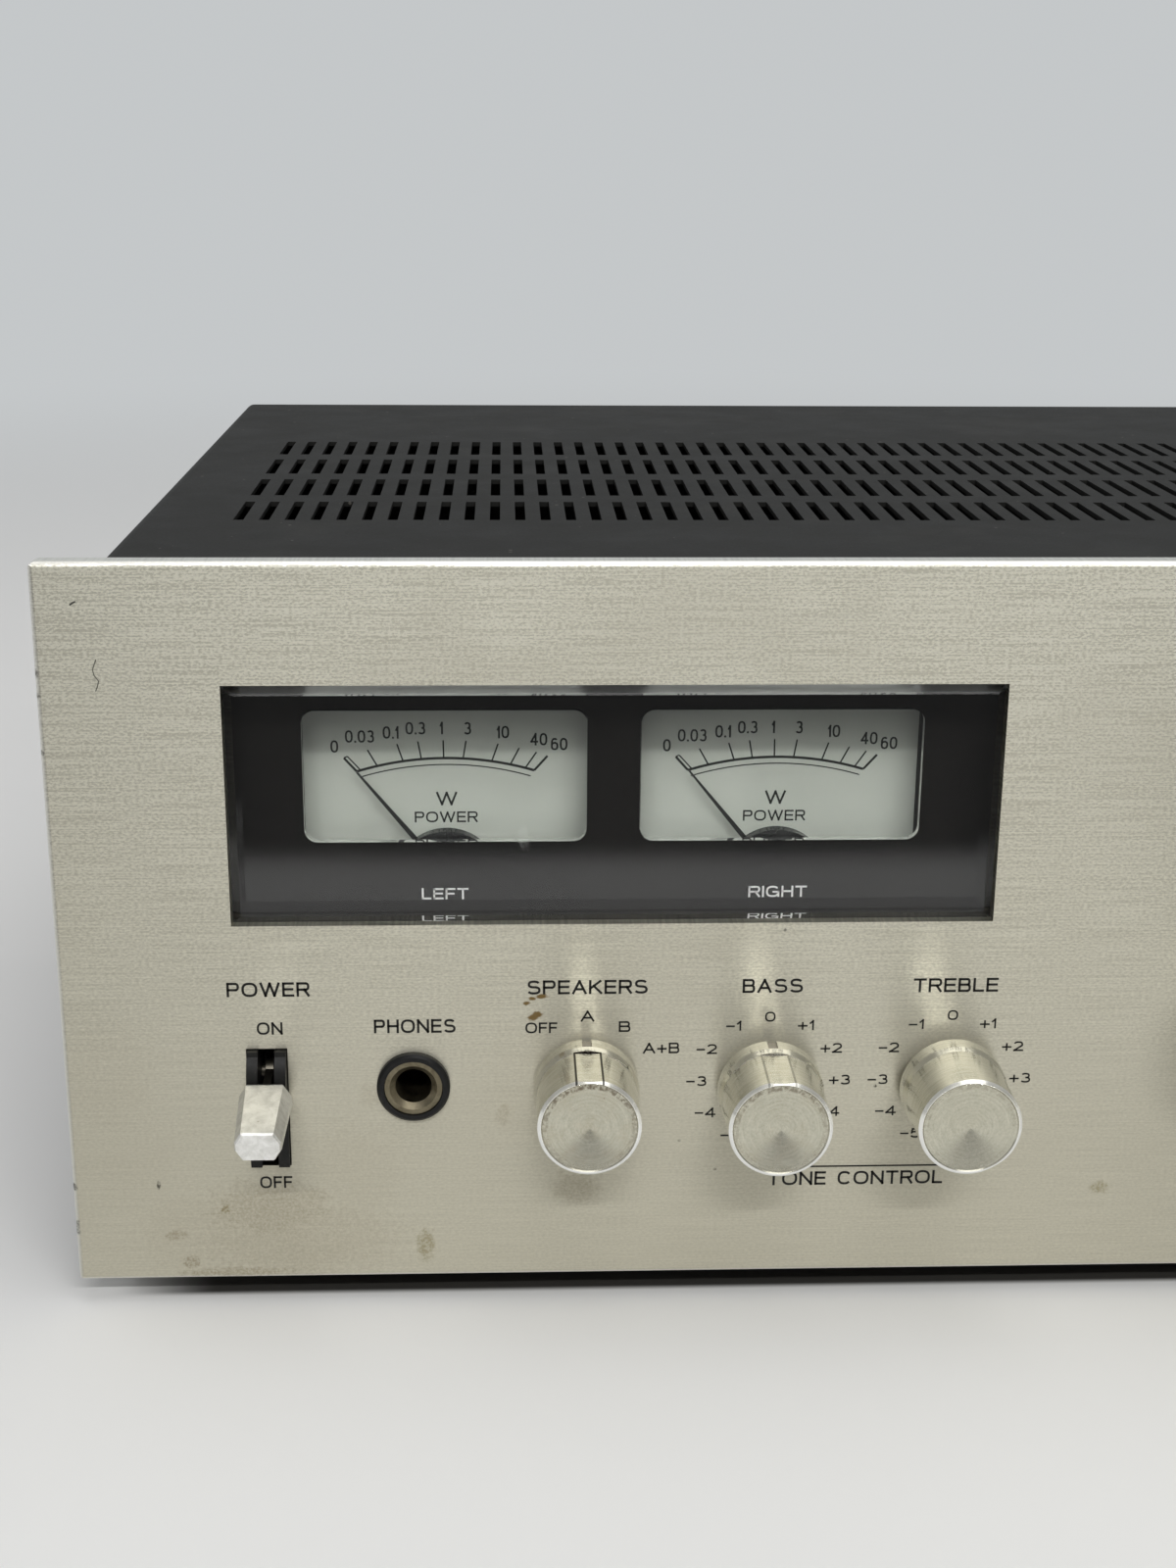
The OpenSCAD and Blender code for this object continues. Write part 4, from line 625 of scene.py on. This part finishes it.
# Ink for lettering: one tone with worn pin-holes, (ink, worn)
inkLook = {"scale": 1800.0, "gap": (0.35, 0.65), "rough": (0.45, 0.65), "spec": 0.3}
inks = {
    "panelInk": ((0.005, 0.005, 0.004, 1), (0.014, 0.013, 0.011, 1)),
    "dialInk": ((0.003, 0.003, 0.003, 1), (0.007, 0.007, 0.007, 1)),
    "paleInk": ((0.70, 0.70, 0.68, 1), (0.80, 0.80, 0.78, 1)),
}


def inkFinish(name, colour, worn, look):
    mat, tree, shader = newFinish(name)
    gap = ramp(tree, noise(tree, here(tree), look["scale"], detail=3.0, rough=0.6), *look["gap"])
    shade(tree, shader, Base_Color=mixColour(tree, gap, colour, worn), Specular_IOR_Level=look["spec"],
          Roughness=ramp(tree, gap, 0, 1, *look["rough"]))
    return mat


panelInk, dialInk, paleInk = (inkFinish(name, *tones, inkLook) for name, tones in inks.items())


# Part of a super-ellipse, a little squarer than an oval, from one angle to another
def bow(x, y, halfX, halfY, start, end, count=17):
    a = np.radians(np.linspace(start, end, count))
    squareness = 0.8
    bend = lambda v: np.sign(v) * np.abs(v) ** squareness
    return np.stack([x + halfX * bend(np.cos(a)), y + halfY * bend(np.sin(a))], 1)


# Letters as strokes in a unit box: (width for a height of 1, list of paths)
stem, oval = [(0, 0), (0, 1)], bow(0.5, 0.5, 0.5, 0.5, 0, 360, 33)
ess = np.concatenate([bow(0.5, 0.76, 0.44, 0.24, 20, 270), bow(0.5, 0.26, 0.5, 0.26, 90, -158)[1:]])
peeBowl = [[(0, 1), (0.7, 1)], bow(0.7, 0.74, 0.3, 0.26, 90, -90), [(0, 0.48), (0.7, 0.48)]]
letterForms = {
    "A": (1.14, [[(0, 0), (0.5, 1)], [(0.5, 1), (1, 0)], [(0.18, 0.32), (0.82, 0.32)]]),
    "B": (1.0, [stem, [(0, 1), (0.7, 1)], bow(0.7, 0.765, 0.24, 0.235, 90, -90), [(0, 0.53), (0.7, 0.53)],
                bow(0.72, 0.265, 0.28, 0.265, 90, -90), [(0, 0), (0.72, 0)]]),
    "C": (1.14, [bow(0.5, 0.5, 0.5, 0.5, 38, 322, 27)]),
    "D": (1.08, [stem, [(0, 1), (0.55, 1)], bow(0.55, 0.5, 0.45, 0.5, 90, -90), [(0, 0), (0.55, 0)]]),
    "E": (0.94, [stem, [(0, 1), (1, 1)], [(0, 0.52), (0.93, 0.52)], [(0, 0), (1, 0)]]),
    "F": (0.9, [stem, [(0, 1), (1, 1)], [(0, 0.5), (0.9, 0.5)]]),
    "G": (1.18, [bow(0.5, 0.5, 0.5, 0.5, 38, 330, 27), [(0.56, 0.46), (1, 0.46)], [(1, 0.46), (1, 0.02)]]),
    "H": (1.04, [stem, [(1, 0), (1, 1)], [(0, 0.52), (1, 0.52)]]),
    "I": (0.14, [stem]),
    "K": (1.04, [stem, [(0, 0.36), (0.92, 1)], [(0.32, 0.6), (1, 0)]]),
    "L": (0.86, [stem, [(0, 0), (1, 0)]]),
    "M": (1.28, [stem, [(0, 1), (0.5, 0.1)], [(0.5, 0.1), (1, 1)], [(1, 0), (1, 1)]]),
    "N": (1.08, [stem, [(0, 1), (1, 0)], [(1, 0), (1, 1)]]),
    "O": (1.26, [oval]),
    "P": (1.0, [stem] + peeBowl),
    "R": (1.04, [stem, [(0.62, 0.48), (1, 0)]] + peeBowl),
    "S": (1.06, [ess]),
    "T": (1.02, [[(0, 1), (1, 1)], [(0.5, 0), (0.5, 1)]]),
    "U": (1.06, [[(0, 1), (0, 0.4)], bow(0.5, 0.4, 0.5, 0.4, 180, 360), [(1, 0.4), (1, 1)]]),
    "V": (1.1, [[(0, 1), (0.5, 0)], [(0.5, 0), (1, 1)]]),
    "W": (1.6, [[(0, 1), (0.25, 0)], [(0.25, 0), (0.5, 1)], [(0.5, 1), (0.75, 0)], [(0.75, 0), (1, 1)]]),
    "X": (1.04, [[(0, 0), (1, 1)], [(0, 1), (1, 0)]]),
    "0": (0.98, [oval]),
    "1": (0.42, [[(0.05, 0.74), (1, 1)], [(1, 0), (1, 1)]]),
    "2": (0.94, [bow(0.49, 0.71, 0.47, 0.29, 165, -30), [(0.9, 0.56), (0.02, 0)], [(0, 0), (1, 0)]]),
    "3": (0.94, [bow(0.46, 0.76, 0.42, 0.24, 152, -90), bow(0.46, 0.265, 0.5, 0.265, 90, -152)]),
    "4": (0.98, [[(0.74, 0), (0.74, 1)], [(0.74, 1), (0, 0.27)], [(0, 0.27), (1, 0.27)]]),
    "5": (0.94, [[(0.92, 1), (0.14, 1)], [(0.14, 1), (0.06, 0.52)], bow(0.47, 0.33, 0.5, 0.33, 142, -155)]),
    "6": (0.94, [bow(0.5, 0.31, 0.5, 0.31, 0, 360, 27), bow(0.5, 0.5, 0.5, 0.5, 50, 180), [(0, 0.5), (0, 0.31)]]),
    "7": (0.88, [[(0, 1), (1, 1)], [(1, 1), (0.35, 0)]]),
    "8": (0.94, [bow(0.5, 0.76, 0.43, 0.24, 0, 360, 27), bow(0.5, 0.26, 0.5, 0.26, 0, 360, 27)]),
    "9": (0.94, [bow(0.5, 0.69, 0.5, 0.31, 0, 360, 27), bow(0.5, 0.5, 0.5, 0.5, -130, 0), [(1, 0.5), (1, 0.69)]]),
    "+": (0.9, [[(0, 0.42), (1, 0.42)], [(0.5, 0.05), (0.5, 0.79)]]),
    "-": (0.8, [[(0, 0.45), (1, 0.45)]]),
    ".": (0.14, [[(0, 0), (0, 0.01)]]),
}


# A bar of rectangular section carried along a flat path: each point goes half the width along its normal, both ways
def barShape(path, width):
    path = np.asarray(path, float)
    along = np.gradient(path, axis=0)
    side = np.stack([-along[:, 1], along[:, 0]], 1)
    side /= np.linalg.norm(side, axis=1, keepdims=True)
    left, right = path + side * width / 2, path - side * width / 2
    count = len(path)
    depth = np.repeat([0.0, 0.0, 1.0, 1.0], count)
    points = np.column_stack([np.concatenate([left, right, right, left]), depth])
    i = np.arange(count - 1)
    quads = [np.stack([i + a * count, i + 1 + a * count, i + 1 + b * count, i + b * count], 1)
             for a, b in ((0, 1), (1, 2), (2, 3), (3, 0))]
    first = np.arange(4) * count
    quads = np.concatenate(quads + [first[None], (first + count - 1)[::-1][None]])
    return points, np.concatenate([quads[:, [0, 1, 2]], quads[:, [0, 2, 3]]])


def mergeShapes(shapes):
    starts = np.cumsum([0] + [len(p) for p, f in shapes])
    return np.concatenate([p for p, f in shapes]), np.concatenate([f + c for (p, f), c in zip(shapes, starts)])


# A word as bars, centred on its box; letters widen until the word has its width, and the stroke stays
def wordShape(word, height, width=None, wide=1.0, weight=0.16):
    stroke, gap, blank = height * weight, 0.18, 0.8
    if width:
        wide = width / height / (sum(blank if c == " " else letterForms[c][0] + gap for c in word) - gap)
    bars, cursor = [], 0.0
    for c in word:
        if c == " ":
            cursor += blank * height * wide
            continue
        inner = max(letterForms[c][0] * height * wide - stroke, 0.0)
        for path in letterForms[c][1]:
            path = np.asarray(path, float) * (inner, height - stroke) + (cursor + stroke / 2, stroke / 2)
            if len(path) == 2:  # straight strokes run on by half their weight, which squares the corners
                ahead = path[1] - path[0]
                path = path + np.array([-ahead, ahead]) * stroke / 2 / np.linalg.norm(ahead)
            bars.append(barShape(path, stroke))
        cursor += inner + stroke + gap * height * wide
    points, faces = mergeShapes(bars)
    points[:, :2] -= (points[:, :2].min(0) + points[:, :2].max(0)) / 2
    return points, faces


# Puts a flat shape on a plane facing -Y: x stays, y becomes z, and the front stands proud by the ink's thickness
def setFlat(shape, x, z, planeY, thick):
    points, faces = shape
    clear = 0.004  # mm of air behind the ink
    return np.stack([points[:, 0] + x, planeY - clear - points[:, 2] * thick, points[:, 1] + z], 1), faces


def addMesh(name, points, faces, mat):
    mesh = bpy.data.meshes.new(name)
    mesh.from_pydata(points.tolist(), [], faces.tolist())
    mesh.validate()
    mesh.materials.append(mat)
    obj = bpy.data.objects.new(name, mesh)
    scene.collection.objects.link(obj)
    return obj


def joinShapes(name, shapes, mat, body):
    points, faces = mergeShapes(shapes)
    obj = addMesh(name, points * mm, faces, mat)
    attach(obj, body)


# Panel lettering: generic words and numbers, (word, x, z, height, width) in mm; radii and places of the scales
lettering = {
    "thick": 0.03, "raise": 0.28,
    "words": [
        ("POWER", -177.95, 62.65, 2.75, 14.7), ("ON", -177.95, 55.15, 2.4, 4.6), ("OFF", -177.95, 24.5, 2.4, 5.9),
        ("PHONES", -152.1, 55.35, 2.65, 14.6), ("SPEAKERS", -121.1, 62.65, 2.7, 21.6),
        ("A", -121.1, 57.0, 2.15, None), ("OFF", -129.4, 54.8, 2.1, 5.75), ("B", -114.4, 54.9, 2.1, None),
        ("A+B", -107.75, 50.6, 2.1, 6.6), ("BASS", -87.85, 62.6, 2.7, 10.9), ("TREBLE", -54.7, 62.4, 2.7, 15.4),
        ("TONE CONTROL", -71.2, 24.0, 2.75, 32.6), ("VOLUME", 9.0, 97.0, 2.7, 17.6),
        ("BALANCE", 62.0, 62.5, 2.7, 18.4), ("L", 50.5, 37.5, 2.3, None), ("R", 73.5, 37.5, 2.3, None),
        ("TAPE", 93.0, 62.6, 2.7, 11.0), ("ON", 93.0, 55.1, 2.4, 4.6), ("OFF", 93.0, 24.5, 2.4, 5.9),
        ("MODE", 119.0, 62.6, 2.7, 12.2), ("MONO", 119.0, 55.1, 2.4, 9.6), ("STEREO", 119.0, 24.5, 2.4, 12.4),
        ("SELECTOR", 157.0, 97.0, 2.7, 21.4), ("PHONO", 142.0, 89.5, 2.3, 10.6), ("TUNER", 157.0, 91.6, 2.3, 10.4),
        ("AUX", 171.5, 88.6, 2.3, 6.6), ("TAPE", 184.0, 78.3, 2.3, 8.6),
    ],
    "toneRadii": (13.1, 12.6), "toneAt": [(-88.1, 44.25), (-54.9, 44.25)], "toneHeight": 1.95,
    "volumeRadii": (22.6, 22.6), "volumeAt": [(9.0, 66.5)], "volumeHeight": 2.5,
    "line": (-88.1, -55.0, 26.7, 0.32),
}


def panelLettering(spec):
    thick, steps = spec["thick"], np.radians(np.arange(-150, 151, 30))
    signed = ["0" if v == 0 else ("+" if v > 0 else "-") + str(abs(v)) for v in range(-5, 6)]
    shapes = [setFlat(wordShape(word, height, width), x, z + spec["raise"], panelFace, thick)
              for word, x, z, height, width in spec["words"]]
    for scale, words in (("tone", signed), ("volume", [str(v) for v in range(11)])):
        radiusX, radiusZ = spec[scale + "Radii"]
        for cx, cz in spec[scale + "At"]:
            for word, a in zip(words, steps):
                x, z = cx + radiusX * math.sin(a), cz + radiusZ * math.cos(a)
                shapes.append(setFlat(wordShape(word, spec[scale + "Height"]), x, z, panelFace, thick))
    x0, x1, z, width = spec["line"]
    shapes.append(setFlat(barShape([(x0, z), (x1, z)], width), 0, 0, panelFace, thick))
    joinShapes("panel_lettering", shapes, panelInk, "case")


panelLettering(lettering)


# Scratches: short dark hooks on the panel's left end, (width, path) in mm
scratches = {
    "thick": 0.01,
    "paths": [(0.16, [(-204.5, 123.4), (-205.2, 121.6), (-205.0, 120.6),
                      (-204.3, 119.6), (-204.5, 118.8), (-204.9, 117.8)]),
              (0.3, [(-208.3, 132.7), (-207.8, 133.1), (-207.3, 133.3)])],
}
hooks = [setFlat(barShape(path, width), 0, 0, panelFace, scratches["thick"]) for width, path in scratches["paths"]]
joinShapes("panel_scratches", hooks, panelInk, "case")


# Meter scales: two flat arcs, marks that point at the pivot, numbers, and the unit, in mm from the dial's middle
dialPrint = {
    "plane": -97.5, "thick": 0.02, "middles": {"left": -146.3, "right": -86.5}, "height": 99.85, "arcPoints": 41,
    "arcs": [(54.2, -52.95, -16.1, 15.85, 0.48), (53.0, -52.95, -15.6, 15.2, 0.22)],  # radius, centre, ends, width
    "marks": [(-14.1, 2.85, -12.4), (-8.8, 3.9, -7.75), (-5.05, 4.4, -4.45), (-0.5, 4.6, -0.45), (3.6, 4.5, 3.05),
              (9.35, 3.9, 8.2), (13.15, 3.1, 11.55), (16.25, 2.3, 14.25)],  # outer end, and x of the inner end
    "markWidth": 0.28, "lowEnd": (-18.35, 1.35), "highEnd": (18.25, 1.6), "endWidth": 0.42,
    "zeroBox": ((-15.5, -0.85), (-17.75, 1.65)), "boxWidth": 0.24,
    "numbers": [("0", -20.0, 3.5), ("0.03", -15.45, 5.35), ("0.1", -9.85, 6.1), ("0.3", -5.45, 6.85),
                ("1", -0.8, 6.9), ("3", 3.9, 6.8), ("10", 10.2, 6.1), ("40", 16.65, 4.75), ("60", 20.35, 3.8)],
    "numberHeight": 2.3, "numberWide": 0.62, "thin": 0.15,
    "unit": ("W", 0.0, -6.4, 2.55, 3.8), "word": ("POWER", -0.1, -9.9, 2.05, 11.4),
}


def meterPrint(side, spec):
    radius, centreZ, x0, x1 = spec["arcs"][0][:4]
    onArc = lambda x: (x, centreZ + math.sqrt(radius * radius - x * x))
    bars = []
    for r, z, start, end, width in spec["arcs"]:
        x = np.linspace(start, end, spec["arcPoints"])
        bars.append((np.stack([x, z + np.sqrt(r * r - x * x)], 1), width))
    bars += [([onArc(xIn), (xOut, zOut)], spec["markWidth"]) for xOut, zOut, xIn in spec["marks"]]
    low, boxWidth, (boxIn, boxOut) = spec["lowEnd"], spec["boxWidth"], spec["zeroBox"]
    bars += [([onArc(x0), low], spec["endWidth"]), ([boxIn, boxOut], boxWidth), ([low, boxOut], boxWidth),
             ([onArc(x1), spec["highEnd"]], spec["endWidth"])]
    flat = [barShape(path, width) for path, width in bars]
    words = [(word, x, z, spec["numberHeight"], None) for word, x, z in spec["numbers"]]
    for word, x, z, height, width in words + [spec["unit"], spec["word"]]:
        points, faces = wordShape(word, height, width, spec["numberWide"], spec["thin"])
        flat.append((points + np.array([x, z, 0]), faces))
    placed = [setFlat(s, spec["middles"][side], spec["height"], spec["plane"], spec["thick"]) for s in flat]
    joinShapes(side + "_meter_scale", placed, dialInk, "case")


for side in ("left", "right"):
    meterPrint(side, dialPrint)


# Words on the black tray below the meters, (word, x, width) in mm
trayPrint = {"plane": -105.5, "thick": 0.02, "z": 77.6, "height": 2.15,
             "words": [("LEFT", -146.6, 8.4), ("RIGHT", -86.4, 10.6)]}


def trayLettering(spec):
    shapes = [setFlat(wordShape(word, spec["height"], width), x, spec["z"], spec["plane"], spec["thick"])
              for word, x, width in spec["words"]]
    joinShapes("mask_lettering", shapes, paleInk, "case")


trayLettering(trayPrint)


# Rear signs: channel letters, numbers and poles, turned half round to read from behind; lines run beside A and B
rearSigns = {
    "plane": 124.5, "thick": 0.03, "height": 3.0,
    "jacksAt": 167.5, "jackStep": -18.0, "jacks": 6, "numberZ": 101.4,
    "polesAt": -25.5, "poleStep": -12.0, "poles": "+-+-+-+-", "poleZ": 65.4,
    "channels": [("L", 179.6, 90.2), ("R", 179.6, 72.2)], "pairs": [("A", -43.5, 71.6), ("B", -91.5, 71.6)],
    "ground": ("GND", 59.5, 60.6), "line": (4, 20), "lineWidth": 0.4,
}


def rearLettering(spec):
    def behind(shape, x, z):
        points, faces = setFlat(shape, 0, z, 0, spec["thick"])
        return points * (-1, -1, 1) + (x, spec["plane"], 0), faces

    signs = [(str(i + 1), spec["jacksAt"] + i * spec["jackStep"], spec["numberZ"]) for i in range(spec["jacks"])]
    signs += [(pole, spec["polesAt"] + i * spec["poleStep"], spec["poleZ"]) for i, pole in enumerate(spec["poles"])]
    signs += spec["channels"] + spec["pairs"] + [spec["ground"]]
    shapes = [behind(wordShape(word, spec["height"]), x, z) for word, x, z in signs]
    near, far = spec["line"]
    for word, x, z in spec["pairs"]:
        for path in ([(-far, 0), (-near, 0)], [(near, 0), (far, 0)]):
            shapes.append(behind(barShape(path, spec["lineWidth"]), x, z))
    joinShapes("rear_lettering", shapes, paleInk, "case")


rearLettering(rearSigns)
print("lettering done")


# Stage: a flat floor, a quarter circle and an upright wall as one profile carried along X, even in tone far away
# The paper is painted dark under the case as painted shade, and for reflections only it is painted dark past a line
# near the front, a painted reflection
stageLook = {
    "half": 5.0, "front": -4.0, "bend": 2.4, "radius": 1.0, "bendPoints": 17, "top": 4.0,
    "near": (0.82, 0.82, 0.81, 1), "cloud": (0.5, 0.5, 0.5, 1), "cloudScale": 3.0, "cloudy": (0.3, 0.7, 0.0, 0.05),
    "rough": 0.75, "far": (0.555, 0.575, 0.585, 1), "blend": (0.45, 1.5),
    "shade": (0.035, 0.033, 0.029, 1), "shadeFront": (-0.1145, -0.1125), "shadeBack": (0.118, 0.108),
    "shadeSide": (0.212, 0.19), "edge": (-0.345, -0.375), "beyond": (0.05, 0.05, 0.05, 1),
}


def paperFinish(s):
    mat, tree, shader = newFinish("studioPaper")
    at = here(tree)
    x, y, _ = split(tree, at)
    cloud = ramp(tree, noise(tree, at, s["cloudScale"], detail=3.0), *s["cloudy"])
    colour = mixColour(tree, cloud, s["near"], s["cloud"])
    # Painted shade: the paper under the case is painted dark
    sides = ramp(tree, maths(tree, "ABSOLUTE", x), *s["shadeSide"], smooth=True)
    deep = product(tree, ramp(tree, y, *s["shadeFront"], smooth=True), ramp(tree, y, *s["shadeBack"]), sides)
    ray = addNode(tree, "ShaderNodeLightPath").outputs
    # Painted reflection: seen by glossy rays only, the paper past a line near the front is painted dark
    past = product(tree, ramp(tree, y, *s["edge"], smooth=True), ray["Is Glossy Ray"])
    colour = mixColour(tree, past, mixColour(tree, deep, colour, s["shade"]), s["beyond"])
    shade(tree, shader, Base_Color=colour, Roughness=s["rough"])
    seen = maths(tree, "ADD", ray["Is Camera Ray"], ray["Is Glossy Ray"])
    seen = maths(tree, "ADD", seen, ray["Is Transmission Ray"], clamp=True)
    far = ramp(tree, length(tree, at, (1, 1, 0)), *s["blend"], smooth=True)
    glow = addNode(tree, "ShaderNodeEmission", {"Color": s["far"], "Strength": 1.0})
    even = product(tree, seen, far, flip(tree, past))
    both = addNode(tree, "ShaderNodeMixShader", {0: even, 1: shader.outputs[0], 2: glow.outputs[0]})
    tree.links.new(both.outputs[0], tree.nodes["Material Output"].inputs[0])
    return mat


def stageFloor(s):
    turn = np.linspace(0, math.pi / 2, s["bendPoints"])
    y = np.concatenate([[s["front"], 0.0], s["bend"] + s["radius"] * np.sin(turn), [s["bend"] + s["radius"]]])
    z = np.concatenate([[0.0, 0.0], s["radius"] * (1 - np.cos(turn)), [s["top"]]])
    x = np.array([-s["half"], s["half"]])
    count = len(y)
    points = np.stack([np.repeat(x, count), np.tile(y, 2), np.tile(z, 2)], 1)
    i = np.arange(count - 1)
    quads = np.stack([i, i + count, i + 1 + count, i + 1], 1)
    obj = addMesh("studio_floor", points, quads, paperFinish(s))
    obj.data.polygons.foreach_set("use_smooth", [True] * len(quads))


stageFloor(stageLook)


# Light: a long key strip high in front, a wide overhead panel and an even sky
lamps = {
    "key": {"place": (0.1, -1.62, 1.42), "aim": (0.03, -0.11, 0.1), "size": (1.8, 0.04), "power": 18.0},
    "overhead": {"place": (0.12, -0.32, 1.6), "aim": (0.05, -0.35, 0.0), "size": (1.8, 1.2), "power": 9.0},
}
skyLook = {"light": (0.39, 0.392, 0.395, 1), "seen": (0.555, 0.575, 0.585, 1)}


def addLamps(spec):
    unit = lambda v: v / np.linalg.norm(v)
    for name, lamp in spec.items():
        data = bpy.data.lights.new(name, "AREA")
        data.shape, (data.size, data.size_y), data.energy = "RECTANGLE", lamp["size"], lamp["power"]
        obj = bpy.data.objects.new(name, data)
        ahead = unit(np.array(lamp["aim"]) - np.array(lamp["place"]))
        side = unit(np.cross(ahead, [0, 0, 1]))
        obj.matrix_world = stand(side, np.cross(side, ahead), -ahead, lamp["place"])
        scene.collection.objects.link(obj)


def addSky(sky):
    world = bpy.data.worlds.new("studioSky")
    world.use_nodes = True
    tree = world.node_tree
    ray = addNode(tree, "ShaderNodeLightPath").outputs["Is Camera Ray"]
    tree.links.new(mixColour(tree, ray, sky["light"], sky["seen"]), tree.nodes["Background"].inputs[0])
    scene.world = world


addLamps(lamps)
addSky(skyLook)
print("stage and light done")
